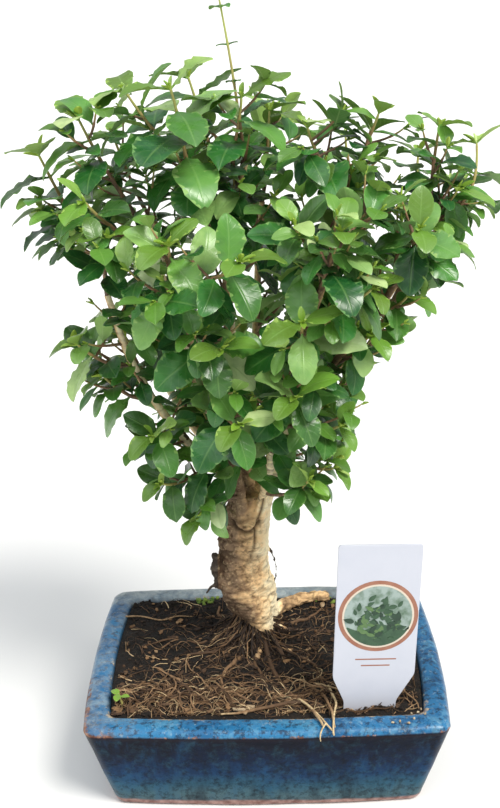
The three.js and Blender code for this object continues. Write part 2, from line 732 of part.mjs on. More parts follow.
function shapeLeaf(base, way, azimuth, lean, length, looks) {
  let side = new THREE.Vector3().crossVectors(way, UP);
  if (side.length() < 0.2) side = new THREE.Vector3(1, 0, 0);
  side.addScaledVector(way, -side.dot(way)).normalize();
  const cross = new THREE.Vector3().crossVectors(way, side);
  const along = way.clone().multiplyScalar(Math.cos(lean));
  along.addScaledVector(side, Math.sin(lean) * Math.cos(azimuth));
  along.addScaledVector(cross, Math.sin(lean) * Math.sin(azimuth));
  along.z -= LEAF_DROOP;
  along.normalize();
  const normal = way.clone().multiplyScalar(0.75).addScaledVector(UP, 0.75).add(looks.tilt);
  normal.addScaledVector(along, -normal.dot(along)).normalize();
  const across = new THREE.Vector3().crossVectors(along, normal);
  return { ...looks, base, along, normal, across, length, width: length * looks.broad };
}

// Opposite pairs of leaves, each pair a quarter turn on from the last
function growLeaves(shoot, k, middleLength, leaves, woods) {
  const draw = makeDraw(9000 + k);
  const tall = k === SHOOT_TIPS.length;
  const shares = tall ? TALL_SHOOT_SHARES : SHOOT_SHARES;
  const spacing = tall ? 14 : 4.2 + 0.18 * middleLength;
  const first = draw(0, Math.PI);
  const grown = [];
  for (let node = 0; ; node += 1) {
    const u = 0.985 - (node * spacing) / shoot.length;
    if (u < 0.15) break;
    const base = chainPoint(shoot.stem, u);
    const way = bezierWay(shoot.control, u);
    const share = shares[Math.min(node, shares.length - 1)];
    const spin = first + (node * Math.PI) / 2 + draw(-0.25, 0.25);
    for (const half of [0, 1]) {
      const azimuth = spin + half * Math.PI;
      const lean = node === 0 ? FIRST_PAIR_LEAN : LEAF_LEAN + draw(-0.14, 0.2);
      const length = middleLength * share * draw(0.86, 1.14);
      const looks = {
        broad: LEAF_WIDTH_SHARE * draw(0.92, 1.1),
        arch: draw(0.14, 0.42),
        fold: draw(0.05, 0.28),
        wave: draw(0.02, 0.09),
        phase: draw(0, 2 * Math.PI),
        tilt: new THREE.Vector3(draw(-0.25, 0.25), draw(-0.25, 0.25), draw(-0.1, 0.25)),
      };
      for (const [turn, tip, scale] of LEAF_VARIANTS) {
        const leaf = shapeLeaf(base, way, azimuth + turn, lean + tip, length * scale, looks);
        const places = leafPlaces(leaf);
        if (leafIsClear(leaf, places, leaves, woods, shoot.owner)) {
          const middle = leaf.base.clone().addScaledVector(leaf.along, leaf.length / 2);
          leaves.push({ places, middle, length: leaf.length });
          grown.push(leaf);
          break;
        }
      }
    }
  }
  return grown;
}

function makeShoot(shoot, grown) {
  const stem = tube(
    shoot.stem.map((joint) => joint.place),
    shoot.stem.map((joint) => joint.radius),
    SHOOT_SIDES,
    shoot.first,
    bezierWay(shoot.control, 1),
  );
  return wasm.Manifold.union([stem, ...grown.map(leafSolid)]);
}

function makeTrunk(limbs, shoots, roots) {
  const solids = [trunkTube(0), ...limbs.map(limbTube)];
  for (const shoot of shoots) {
    const end = shoot.from.clone().addScaledVector(shoot.first, shoot.stub);
    const radius = shoot.startRadius * 1.08;
    solids.push(tube([shoot.from, end], [radius, radius], SHOOT_SIDES, shoot.first, shoot.first));
  }
  for (const [start, end, points] of SPURS) {
    const places = points.map(vector);
    const radii = places.map((place, i) => start + (end - start) * (i / (places.length - 1)));
    solids.push(tube(places, radii, start > 2 ? 6 : 4));
  }
  solids.push(...roots.map((root) => rootTube(root, 0)));
  return wasm.Manifold.union(solids);
}

// A flat plate with the label's outline, grown outward by a margin on every side
function labelPlate(margin) {
  const shape = new THREE.Shape(LABEL_OUTLINE.map(([x, z]) => {
    const grownX = x + Math.sign(x) * margin * 1.3;
    return new THREE.Vector2(grownX, z + (z === 0 ? -margin : margin * 0.3));
  }));
  const thickness = LABEL_THICKNESS + 2 * margin;
  const geometry = new THREE.ExtrudeGeometry(shape, { depth: thickness, bevelEnabled: false });
  geometry.translate(0, 0, -thickness / 2);
  geometry.rotateX(Math.PI / 2);
  geometry.rotateY(LABEL_ROLL);
  geometry.rotateZ(LABEL_TURN);
  geometry.translate(...LABEL_PLACE);
  return toManifold(geometry);
}

// Seedling: a short stem and three small leaves
function makeSeedling(grow) {
  const [x, y] = SEEDLING_PLACE;
  const foot = soilHeight(x, y);
  const points = SEEDLING_STEM.map(([dx, dy, dz]) => new THREE.Vector3(x + dx, y + dy, foot + dz));
  const stem = tube(points, points.map(() => SEEDLING_RADIUS + grow), 5, UP);
  if (grow > 0) return stem;
  const draw = makeDraw(31);
  const joints = points.map((place) => ({ place }));
  const leaves = [];
  for (let i = 0; i < SEEDLING_LEAVES; i += 1) {
    const tilt = new THREE.Vector3(0, 0, 0.5);
    const looks = { broad: 0.6, arch: 0.2, fold: 0.2, wave: 0.02, phase: i, tilt };
    const length = SEEDLING_LEAF * draw(0.85, 1.15);
    const base = chainPoint(joints, 0.8 + 0.08 * i);
    leaves.push(leafSolid(shapeLeaf(base, UP, i * SEEDLING_TURN, SEEDLING_LEAN, length, looks)));
  }
  return wasm.Manifold.union([stem, ...leaves]);
}

const trunkChain = TRUNK_ROWS.map((row) => ({ place: vector(row), radius: row[3] * 1.08 }));
const labelChain = LABEL_ROOM.map(([x, y, z, radius]) => ({ place: new THREE.Vector3(x, y, z), radius }));
const limbs = growLimbs();
const woods = [
  { owner: 'trunk', chain: trunkChain },
  { owner: 'label', chain: labelChain },
  ...limbs.map((limb) => ({ owner: limb, chain: limb.chain })),
];
const shoots = growStems(limbs, woods);
const leafLengths = [...SHOOT_TIPS, TALL_SHOOT_TIP].map((row) => row[3]);
const leaves = [];
const roots = surfaceRoots();

const bonsai = new THREE.Group();
bonsai.name = 'privet_bonsai';
bonsai.add(toMesh(makePot(), 'pot', 0x1d5f94, 0.3));
const soilCutters = [trunkTube(GAP * 1.2), labelPlate(GAP), makeSeedling(GAP * 1.3)];
soilCutters.push(...roots.map((root) => rootTube(root, GAP)));
bonsai.add(toMesh(makeSoil(soilCutters), 'soil', 0x3a2a1f, 0.95));
bonsai.add(toMesh(makeTrunk(limbs, shoots, roots), 'trunk', 0xa68a6a, 0.85));
shoots.forEach((shoot, k) => {
  const grown = growLeaves(shoot, k, leafLengths[k], leaves, woods);
  const number = String(k + 1).padStart(2, '0');
  const name = k === shoots.length - 1 ? 'tall_shoot' : `shoot_${number}`;
  bonsai.add(toMesh(makeShoot(shoot, grown), name, SHOOT_COLOURS[k % SHOOT_COLOURS.length], 0.45));
});
bonsai.add(toMesh(labelPlate(0), 'plant_label', 0xf2f2ee, 0.4));
bonsai.add(toMesh(makeSeedling(0), 'seedling', 0x7fb03f, 0.6));

export default bonsai;
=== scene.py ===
from math import ceil, copysign, cos, exp, hypot, pi, radians, sin, sqrt

import bmesh
import bpy
import numpy as np
from mathutils import Matrix, Vector, noise
from numpy.linalg import norm


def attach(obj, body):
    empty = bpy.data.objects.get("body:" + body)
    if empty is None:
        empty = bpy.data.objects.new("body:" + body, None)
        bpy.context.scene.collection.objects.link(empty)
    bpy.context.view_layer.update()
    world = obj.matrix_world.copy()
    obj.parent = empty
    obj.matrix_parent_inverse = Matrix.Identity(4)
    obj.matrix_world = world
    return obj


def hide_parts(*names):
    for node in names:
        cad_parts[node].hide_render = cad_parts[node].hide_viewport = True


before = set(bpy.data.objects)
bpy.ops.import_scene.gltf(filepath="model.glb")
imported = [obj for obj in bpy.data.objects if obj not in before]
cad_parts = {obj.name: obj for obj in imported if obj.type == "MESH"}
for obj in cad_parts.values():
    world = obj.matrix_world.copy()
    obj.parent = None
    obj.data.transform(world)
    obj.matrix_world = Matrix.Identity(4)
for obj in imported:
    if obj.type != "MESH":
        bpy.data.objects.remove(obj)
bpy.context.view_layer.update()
MM = 0.001

# Pot
POT_LENGTH, POT_DEPTH, POT_BOW, RIM_WIDTH, FLOOR_TOP = 152.6, 116, 2.4, 10, 7
# Inside of the walls: heights of its foot and top, inset of its foot
INSIDE_LOW, INSIDE_HIGH, INSIDE_INSET = 8.6, 44.6, 16.9
DRAIN_OFFSET, DRAIN_RADIUS = 34, 5
GAP = 0.3

# Soil
SOIL_LEVEL, MOUND_HEIGHT, MOUND_SPREAD = 44, 3.2, 30

# Trunk: rows of x, y, z, radius
TRUNK_X, TRUNK_Y = -3, 12
TRUNK_ROWS = [
    (-2, 12, 20, 3), (-2.5, 12, 36, 5), (-3, 12, 48, 7.2), (-3.5, 12, 55, 8), (-4.5, 12, 61, 9.9),
    (-6.3, 12, 67, 11.8), (-8.3, 12, 74, 12.4), (-9, 12, 85, 11.5), (-8.8, 12, 97, 11.2),
    (-7.6, 12.4, 106, 10.9), (-5.8, 13, 113, 9.6), (-5, 13, 120, 7.2),
]
# Limbs: start and end radius, then the points that each one passes through
LIMBS = [
    (4.2, 1.5, [(-9, 12, 108), (-16, 11, 141), (-24, 7, 166), (-31, 3, 194), (-39, 2, 220), (-48, 2, 246)]),
    (4.4, 1.5, [(-6, 14, 108), (-9, 16, 149), (-12, 16, 181), (-13, 13, 214), (-9, 10, 244), (-4.5, 8, 266)]),
    (3.7, 1.5, [(-1.5, 10, 108), (8.5, 8, 142), (14, 4, 180), (20, 2, 210), (30, 2, 238), (40, 4, 260)]),
    (2.2, 1.3, [(10, 8, 146), (19, 0, 164), (29, -4, 183), (46, -8, 206), (60, -6, 228), (68, -2, 250)]),
    (3.4, 1.3, [(-9, 17, 108), (-16, 28, 143), (-28, 36, 178), (-38, 42, 208), (-46, 42, 236)]),
    (3.4, 1.3, [(-2, 17, 108), (8, 28, 146), (20, 36, 180), (32, 42, 210), (42, 42, 238)]),
    (3.2, 1.3, [(-8, 7, 108), (-12, -6, 143), (-19, -18, 174), (-26, -27, 204), (-32, -32, 232)]),
    (3, 1.3, [(-2, 7, 108), (5, -8, 148), (11, -20, 178), (19, -30, 208), (27, -34, 234)]),
    (2.6, 1.3, [(-13, 11, 124), (-28, 4, 143), (-42, -4, 166), (-53, -9, 191), (-60, -10, 217)]),
    (2.8, 1.3, [(-5, 19, 112), (-3, 34, 148), (-2, 45, 182), (0, 50, 216), (2, 48, 242)]),
    (2.2, 1.3, [(7.5, 9, 138), (29, 15, 160), (48, 19, 186), (62, 20, 214), (72, 18, 238)]),
    (2.3, 1.3, [(-14, 14, 128), (-33, 19, 154), (-49, 21, 184), (-60, 21, 214), (-71, 17, 240)]),
]
LIMB_THINNING = 0.55
LIMB_STEPS = 20

# Dead stub, wiry twig and side root: start and end radius, then points
SPURS = [
    (3, 1.9, [(-14, 8, 76.5), (-19.4, 6, 77.5), (-21.9, 5.5, 83.5), (-21.6, 5.5, 92.5)]),
    (0.9, 0.6, [(-2, 9, 98), (3, 6, 93.5), (5.4, 4.6, 86), (4.6, 5, 78)]),
    (1.2, 0.7, [(-12, 11, 77), (-19.5, 7, 74.5), (-23, 5, 77), (-26.5, 4, 73)]),
]
ROOT_SEED, ROOT_COUNT, ROOT_STEPS, ROOT_AREA = 77, 10, 4, (63, 45)
PLACED_ROOTS = [
    (3.8, 2.6, [(-2, 17, 51.5), (4, 28, 50), (12, 36.5, 48.8), (22, 42.5, 48.2), (33, 45, 47.6)]),
    (1.4, 0.8, [(-1, 4, 50), (3, -14, 44.8), (9, -30, 44), (15.6, -39.5, 45.2), (20, -49, 46.9),
                (23.2, -58, 46.6)]),
    (1.3, 0.6, [(3, 6, 50), (10, -12, 45), (18, -25, 44), (24.4, -35, 45.4), (27, -48, 46.9), (28, -59, 46.5)]),
    (1.1, 0.6, [(15.6, -39.5, 45), (8, -41.5, 45.8), (-2, -45, 46), (-11, -47.4, 45.8), (-19, -48, 45.6)]),
]
SEEDLING_PLACE = (-61.5, -38.5)

# Shoots: x, y, z of each tip, then the length of its middle leaves
SHOOT_TIPS = [
    (-50, 5, 294, 27), (-67, -6, 285, 25), (-85, 2, 271, 26), (-86, 5, 249, 19), (-56, -28, 244, 17),
    (-72, -20, 200, 21), (-43, -28, 164, 18), (-41, -22, 140, 16), (-26, -16, 122, 17), (30, -18, 144, 15),
    (31, -32, 168, 18), (43, -30, 205, 17), (58, -20, 217, 18), (71, 0, 279, 18), (78, -5, 255, 21),
    (88, 14, 271, 20), (48, 4, 284, 18), (20, -2, 280, 24), (-14, -48, 206, 23),
    (16, -50, 216, 24), (-8, -48, 176, 21), (14, -46, 186, 22), (-32, -44, 244, 22), (-31, -16, 297, 27),
    (30, -44, 248, 21), (60, -32, 246, 19), (66, -8, 240, 17), (-64, -12, 184, 19), (-64, -25, 257, 21),
    (19, -30, 144, 15), (-60, 36, 274, 22), (-28, 44, 296, 26), (6, 42, 282, 22), (38, 44, 270, 21),
    (68, 36, 264, 20), (70, 24, 242, 18), (-76, 30, 242, 18), (-57, 48, 215, 18), (-30, 60, 240, 20),
    (2, 64, 234, 20), (34, 60, 238, 20), (58, 50, 214, 19), (-58, 22, 190, 19), (-42, 46, 172, 18),
    (-8, 54, 180, 19), (32, 48, 172, 18), (44, -20, 254, 21), (-20, 40, 142, 16), (14, 38, 146, 16),
    (14, -40, 250, 22), (-6, -54, 240, 22), (42, -42, 226, 19), (-5, -4, 292, 25),
]
COST_TURNED, COST_LEVEL, COST_SHORT, COST_CROWDED = 50, 50, 50, 4
TALL_SHOOT_TIP = (-15, 9, 338, 24)
TALL_SHOOT_LIMB = 1
TALL_SHOOT_SHARES = [0.28, 0.3, 0.22, 0.24, 1]
SHOOT_SHARES = [0.8, 1, 1.12, 1.06, 0.96]
SHOOT_END_RADIUS, STUB_LENGTH, STUB_ROOM, SHOOT_ROOM = 0.55, 1.8, 3.4, 11
LEAST_REACH, STEM_ATTEMPTS = 26, 24

# Leaves
PETIOLE_HALF_WIDTH, PETIOLE_SHARE, LEAF_WIDTH_SHARE, LEAF_BLUNTNESS = 0.42, 0.1, 0.53, 0.62
FACET_WIDENING, LEAF_CLEARANCE, WOOD_CLEARANCE, LEAF_DROOP = 1.1, 2.3, 0.9, 0.3
FIRST_PAIR_LEAN, LEAF_LEAN = 0.74, 0.92
LEAF_VARIANTS = [
    (0, 0, 1), (0.45, 0, 1), (-0.45, 0, 1), (0, 0.3, 0.92), (0, -0.35, 0.92), (0.8, 0.2, 0.86),
    (-0.8, 0.2, 0.86), (0, 0, 0.74), (0.5, -0.3, 0.74), (-0.5, -0.3, 0.74),
]

# Plant label: outline as x, z from the middle of its stem's foot
LABEL_OUTLINE = [
    (-5, 0), (5, 0), (10, 10), (10, 26), (17.1, 39), (17.1, 99.4), (-17.1, 99.4), (-17.1, 37.5), (-12, 26),
    (-12, 10),
]
LABEL_THICKNESS, LABEL_PLACE, LABEL_ROLL, LABEL_TURN = 0.9, (43.6, -43.2, 22), 0.035, 0.06

# Further leaves and side twigs: room kept free round them, numbers of twigs on each limb and shoot
TIGHT, LOOSE = (LEAF_CLEARANCE, WOOD_CLEARANCE), (1.1, 0.5)
LIMB_TWIGS, STEM_TWIGS, TWIG_SPACING, TWIG_END_RADIUS = 13, 2, 6.2, 0.32
# Shoots with more side twigs than the others, by their place in the list
FULLER_SHOOTS = {17: 6, 49: 4, 32: 4, 46: 3, 52: 3, 1: 2, 0: 2, 30: 2}
# How far round it a twig looks for shoots, and how far it may stand out beyond them
TWIG_REACH, TWIG_EXCESS = 42, 1.5
# Roots with a start radius over THICK_ROOT, and limbs up to LIMB_SKIN_TOP, share one skin with the trunk;
# above LIMB_TUBE_FOOT the limbs are tubes of their own
THICK_ROOT, LIMB_SKIN_TOP, LIMB_TUBE_FOOT, TRUNK_VOXEL = 3, 158, 146, 0.62
# Longer twigs that fill gaps in the middle: limb, share of its length, tip
FILLING_TWIGS = (
    (1, 0.8, (7, 0, 262)), (2, 0.66, (10, 0, 250)), (1, 0.62, (12, -4, 244)), (2, 0.74, (17, -6, 252)),
    (1, 0.7, (4, -2, 252)), (0, 0.62, (-46, 2, 262)), (0, 0.5, (-50, 4, 244)),
)
# The camera, and the openings seen through the crown: x and z at y = 0, then the radius there
EYE = np.array([2.6, -449.6, 334.5])
OPENINGS = [
    (-77, 260, 5.3), (-70, 258, 3.3), (-88, 216, 7.3), (-76, 218, 6.9), (-66, 217, 4.9), (-61, 211, 3.3),
    (-71, 206, 3.7), (-57, 192, 4.5), (-64, 190, 3.3), (-50, 184, 3.3), (-39, 175, 3.7), (-84, 167, 6.1),
    (-75, 156, 5.7), (-55, 165, 3.3), (-60, 150, 5.7), (-54, 133, 4.9), (-49, 117, 3.3), (-42, 105, 4.1),
    (53, 194, 4.9), (61, 186, 6.5), (68, 192, 5.7), (49, 174, 6.9), (58, 172, 7.3), (47, 161, 5.7),
    (46, 150, 5.3), (59, 155, 8.2), (73, 198, 4.9), (78, 207, 4.9), (82, 223, 4.5), (86, 234, 3.3),
    (39, 126, 4.9), (31, 111, 4.1), (30, 136, 2), (60, 267, 3.3), (55, 263, 2.4), (27, 273, 2.9),
    (17, 274, 1.6), (55, 218, 2), (47, 213, 2.4), (36, 212, 1.6), (49, 236, 2), (14, 225, 1.6),
    (38, 205, 1.6),
]
UP, RIGHT = np.array([0.0, 0.0, 1.0]), np.array([1.0, 0.0, 0.0])
TRUNK_MIDDLE = np.array([TRUNK_X, TRUNK_Y])
TIP_PLACES = np.array([row[:3] for row in SHOOT_TIPS], float)
# All shoots, and the number of the tall one among them
SHOOTS, TALL = [*SHOOT_TIPS, TALL_SHOOT_TIP], len(SHOOT_TIPS)
# Half the crown's width and depth, by which its outward reach is measured
CROWN_SHAPE = np.array([90.0, 64.0])
PRIME = 2147483647


def make_draw(seed):
    state = (seed * 7919 + 12345) % PRIME

    def draw(low, high):
        nonlocal state
        state = (state * 16807) % PRIME
        return low + (high - low) * (state / PRIME)

    return draw


def blend(a, b, share):
    return a + (b - a) * share


def unit(v):
    v = np.asarray(v, float)
    return v / np.sqrt((v * v).sum(-1, keepdims=True))


def square_to(v, way):
    """v with its part along way taken out."""
    return v - way * (v @ way)


# Curves
def spline_point(points, t):
    span = min(max(t, 0), 1) * (len(points) - 1)
    i = min(int(span), len(points) - 2)
    u = span - i
    p1, p2 = points[i], points[i + 1]
    p0 = points[i - 1] if i > 0 else 2 * p1 - p2
    p3 = points[i + 2] if i + 2 < len(points) else 2 * p2 - p1
    early = p0 * 0.5 * (-u + 2 * u * u - u**3) + p1 * 0.5 * (2 - 5 * u * u + 3 * u**3)
    return early + p2 * 0.5 * (u + 4 * u * u - 3 * u**3) + p3 * 0.5 * (-u * u + u**3)


def spline_way(points, t):
    return unit(spline_point(points, min(t + 0.01, 1)) - spline_point(points, max(t - 0.01, 0)))


def bezier_point(control, u):
    a, b, c, d = control
    v = 1 - u
    return a * v**3 + b * 3 * v * v * u + c * 3 * v * u * u + d * u**3


def bezier_way(control, u):
    a, b, c, d = control
    v = 1 - u
    return unit((b - a) * v * v + (c - b) * 2 * v * u + (d - c) * u * u)


def sample(curve, points, shares):
    return np.array([curve(points, t) for t in shares])


def distance_to_chain(places, chain):
    """Distance from each place to a chain (points, radii) of bars, less their radius."""
    points, radii = chain
    along = points[1:] - points[:-1]
    offset = places[:, None, :] - points[None, :-1]
    share = np.clip((offset * along).sum(-1) / (along * along).sum(-1), 0, 1)
    away = norm(offset - share[..., None] * along, axis=-1)
    return (away - blend(radii[:-1], radii[1:], share)).min(1)


# The skeleton, by the same rule as the solids
def limb_radius(limb, t):
    return blend(limb["start"], limb["end"], t**LIMB_THINNING)


def grow_limb(start, end, rows):
    shares = [i / LIMB_STEPS for i in range(LIMB_STEPS + 1)]
    points = np.array(rows, float)
    limb = {"points": points, "start": start, "end": end, "ways": sample(spline_way, points, shares)}
    limb["places"] = sample(spline_point, points, shares)
    limb["chain"] = (limb["places"], np.array([limb_radius(limb, t) for t in shares]))
    return limb


def choose_limbs(tips, limbs, woods):
    """The limb and station that each shoot grows from."""

    def cost_of(reach, ways, least_turn):
        far = norm(reach, axis=1)
        cost = far + COST_TURNED * np.maximum(0, least_turn - (reach * ways).sum(1) / far)
        return far, cost + COST_SHORT * np.maximum(0, 1 - far / LEAST_REACH)

    choices = [None] * len(tips)
    choices[-1] = (TALL_SHOOT_LIMB, LIMB_STEPS)
    for index, limb in enumerate(limbs):
        if index != TALL_SHOOT_LIMB:
            cost = cost_of(np.array(tips) - limb["places"][-1], limb["ways"][-1], 0.8)[1]
            cost[[choice is not None for choice in choices]] = np.inf
            choices[int(np.argmin(cost))] = (index, LIMB_STEPS)
    spots = []
    for index, limb in enumerate(limbs):
        others = [wood["chain"] for wood in woods if wood["owner"] is not limb]
        for step in range(2, LIMB_STEPS - 1):
            place = limb["places"][step][None]
            if all(distance_to_chain(place, chain)[0] >= STUB_ROOM for chain in others):
                spots.append((index, step))
    places = np.array([limbs[i]["places"][s] for i, s in spots])
    ways = np.array([limbs[i]["ways"][s] for i, s in spots])
    for k in sorted(range(len(tips)), key=lambda k: (tips[k][2], k)):
        if choices[k] is not None:
            continue
        reach = tips[k] - places
        far, cost = cost_of(reach, ways, 0.45)
        cost += COST_LEVEL * np.maximum(0, 0.15 - reach[:, 2] / far)
        for index, step in filter(None, choices):
            near = norm(limbs[index]["places"][step] - places, axis=1)
            cost += COST_CROWDED * np.maximum(0, SHOOT_ROOM - near)
        choices[k] = spots[int(np.argmin(cost))]
    return choices


def shape_stem(limb, step, tip, bend):
    end = step == LIMB_STEPS
    foot, way = limb["places"][step], limb["ways"][step]
    far = norm(tip - foot)
    reach = (tip - foot) / far
    aside = unit(square_to(reach, way))
    first = unit(way * (0.92 if end else 0.6) + aside * (0.3 if end else 0.8))
    inside = 0 if end else limb_radius(limb, step / LIMB_STEPS) / sqrt(1 - (first @ way) ** 2)
    stub = inside + STUB_LENGTH
    start = foot + first * (stub + GAP)
    outward = unit([tip[0] - TRUNK_X, tip[1] - TRUNK_Y, 0])
    last = unit(reach * 0.75 + UP * 0.5 + outward * 0.15)
    length = norm(tip - start)
    control = [start, start + first * 0.35 * length, tip - last * 0.32 * length + bend, tip]
    start_radius = 0.7 + 0.006 * far
    steps = min(max(int(length / 11 + 0.5), 2), 6)
    shares = [i / steps for i in range(steps + 1)]
    return {
        "from": foot, "first": first, "stub": stub, "control": control, "length": length, "at_end": end,
        "stem": sample(bezier_point, control, shares), "start_radius": start_radius,
        "radii": blend(start_radius, SHOOT_END_RADIUS, np.array(shares)),
    }


def stem_crossing(shape, limb, woods):
    """How deep a stem stands in other wood."""
    shares = np.arange(17) / 16
    places = sample(bezier_point, shape["control"], shares)
    radii = blend(shape["start_radius"], SHOOT_END_RADIUS, shares)
    beyond_stub = norm(places - shape["from"], axis=1) >= shape["stub"] + 4
    worst = 0
    for wood in woods:
        own = wood["owner"] is limb
        room = distance_to_chain(places, wood["chain"]) - radii - (GAP * 1.3 if own else WOOD_CLEARANCE)
        if own and shape["at_end"]:
            room = room[beyond_stub]
        worst = max([worst, *-room])
    return worst


def grow_stems(limbs, woods):
    tips = [np.array(row[:3], float) for row in SHOOTS]
    shoots = []
    for k, (tip, (index, step)) in enumerate(zip(tips, choose_limbs(tips, limbs, woods))):
        draw = make_draw(500 + k)
        best = None
        for attempt in range(STEM_ATTEMPTS):
            size = attempt * 1.6
            bend = np.array([draw(-size, size) for _ in range(3)])
            shape = shape_stem(limbs[index], step, tip, bend)
            crossing = stem_crossing(shape, limbs[index], woods)
            if best is None or crossing < least:
                best, least = shape, crossing
            if least <= 0:
                break
        points = np.vstack([best["from"], best["stem"]])
        radii = np.concatenate([[best["start_radius"]], best["radii"]])
        woods.append({"owner": best["control"], "chain": (points, radii)})
        shoots.append(best)
    return shoots


# Leaves
def half_width(leaf, s):
    x = np.clip((s - PETIOLE_SHARE) / (1 - PETIOLE_SHARE), 0, 1)
    blade = 0.5 * leaf["width"] * np.maximum(0, np.sin(np.pi * x**0.95)) ** LEAF_BLUNTNESS
    return np.where(s < PETIOLE_SHARE, PETIOLE_HALF_WIDTH, blade)


def leaf_point(leaf, s, c, widening=1.0):
    """Points of a blade at shares s of its length and c, from -1 to 1, of its width."""
    s, c = np.broadcast_arrays(np.asarray(s, float), np.asarray(c, float))
    least = np.where(s < 1, PETIOLE_HALF_WIDTH, 0)
    half = np.maximum(half_width(leaf, s) * widening, least) * c
    blade = np.minimum(1, s / 0.25)
    sag = leaf["arch"] * leaf["length"] * s * s
    fold = leaf["fold"] * np.abs(half) * blade
    wave = leaf["wave"] * leaf["width"] * c * np.abs(c) * np.sin(8 * s + leaf["phase"] + 1.6 * c) * blade
    reach = leaf["length"] * (s - 0.45 * leaf["arch"] * s**3)
    flat = leaf["base"] + reach[..., None] * leaf["along"] + half[..., None] * leaf["across"]
    return flat + (fold + wave - sag)[..., None] * leaf["normal"]


def leaf_places(leaf):
    steps = max(4, ceil(leaf["length"] / 3.2))
    across = np.array([-1, -0.5, 0, 0.5, 1] if leaf["width"] > 9.5 else [-1, 0, 1], float)
    s = 0.2 + 0.8 * np.arange(steps + 1) / steps
    return leaf_point(leaf, s[:, None], across[None, :], FACET_WIDENING).reshape(-1, 3)


def shape_leaf(base, way, azimuth, lean, length, looks):
    side = np.cross(way, UP)
    side = unit(square_to(side if norm(side) >= 0.2 else RIGHT, way))
    cross = np.cross(way, side)
    along = way * cos(lean) + side * sin(lean) * cos(azimuth) + cross * sin(lean) * sin(azimuth)
    along = unit(along - UP * LEAF_DROOP)
    normal = unit(square_to(way * 0.75 + UP * 0.75 + looks["tilt"], along))
    return {**looks, "base": base, "along": along, "normal": normal, "across": np.cross(along, normal),
            "length": length, "width": length * looks["broad"]}


class Foliage:
    """The leaves grown so far, with what tells whether a further one is clear of them."""

    def __init__(self, woods):
        self.woods, self.middles, self.lengths, self.places = [], [], [], []
        self.centres, self.reaches = [], []
        for wood in woods:
            self.add_wood(wood)

    def add_wood(self, wood):
        points, radii = wood["chain"]
        centre = (points.min(0) + points.max(0)) / 2
        self.woods.append(wood)
        self.centres.append(centre)
        self.reaches.append(norm(points - centre, axis=1).max() + radii.max())

    def near_woods(self, place, room):
        away = norm(np.array(self.centres) - place, axis=1) - np.array(self.reaches)
        return [self.woods[i] for i in np.nonzero(away <= room)[0]]

    def clear(self, middle, length, places, owner, rooms):
        leaf_room, wood_room = rooms
        if self.middles:
            away = norm(np.array(self.middles) - middle, axis=1)
            reach = (length + np.array(self.lengths)) * 0.62 + leaf_room
            for i in np.nonzero(away <= reach)[0]:
                offset = self.places[i][:, None, :] - places[None]
                if (offset * offset).sum(-1).min() < leaf_room**2:
                    return False
        room = length * 0.75 + WOOD_CLEARANCE
        for wood in self.near_woods(middle, room):
            if wood["owner"] is owner or distance_to_chain(middle[None], wood["chain"])[0] > room:
                continue
            if distance_to_chain(places, wood["chain"]).min() < wood_room:
                return False
        return True

    def grow(self, spot, owner, rooms):
        """The first variant of the leaf that is clear of everything, or None."""
        base, way, azimuth, lean, length, looks = spot
        for turn, tip, scale in LEAF_VARIANTS:
            leaf = shape_leaf(base, way, azimuth + turn, lean + tip, length * scale, looks)
            places = leaf_places(leaf)
            middle = leaf["base"] + leaf["along"] * leaf["length"] / 2
            if self.clear(middle, leaf["length"], places, owner, rooms):
                self.middles.append(middle)
                self.lengths.append(leaf["length"])
                self.places.append(places)
                return leaf
        return None


def chain_point(chain, u):
    span = u * (len(chain) - 1)
    i = min(int(span), len(chain) - 2)
    return blend(chain[i], chain[i + 1], span - i)


def draw_looks(draw, young=0.0):
    return {
        "broad": LEAF_WIDTH_SHARE * draw(0.92, 1.1), "arch": draw(0.14, 0.42), "fold": draw(0.05, 0.28),
        "wave": draw(0.02, 0.09), "phase": draw(0, 2 * pi), "young": max(0.0, young),
        "tilt": np.array([draw(-0.25, 0.25), draw(-0.25, 0.25), draw(-0.1, 0.25)]),
    }


def leaf_nodes(shoot, k):
    """Shares of a shoot's length at which pairs of leaves may stand, from its tip down."""
    spacing = 14 if k == TALL else 4.2 + 0.18 * SHOOTS[k][3]
    return [0.985 - j * spacing / shoot["length"] for j in range(12)]


def grow_leaves(shoot, k):
    draw = make_draw(9000 + k)
    shares = TALL_SHOOT_SHARES if k == TALL else SHOOT_SHARES
    first = draw(0, pi)
    grown, missed = [], []
    for node, u in enumerate(leaf_nodes(shoot, k)):
        if u < 0.15:
            break
        base, way = chain_point(shoot["stem"], u), bezier_way(shoot["control"], u)
        spin = first + (node * pi) / 2 + draw(-0.25, 0.25)
        for half in (0, 1):
            lean = FIRST_PAIR_LEAN if node == 0 else LEAF_LEAN + draw(-0.14, 0.2)
            length = SHOOTS[k][3] * shares[min(node, len(shares) - 1)] * draw(0.86, 1.14)
            looks = draw_looks(draw, 0.55 - 0.4 * node)
            leaf = foliage.grow((base, way, spin + half * pi, lean, length, looks), shoot["control"], TIGHT)
            if leaf is None:
                missed.append((base, way, spin + half * pi, lean, length * 0.92, looks))
            else:
                grown.append(leaf)
    return grown, missed


# Side twigs, which fill the crown between the shoots
def in_opening(places):
    """Whether any of the places covers one of the openings."""
    for x, z, radius in OPENINGS:
        middle = np.array([x, 0.0, z])
        sight = unit(middle - EYE)
        offset = places - EYE
        far = offset @ sight
        away = norm(offset - far[:, None] * sight, axis=1)
        if (away < radius * far / norm(middle - EYE)).any():
            return True
    return False


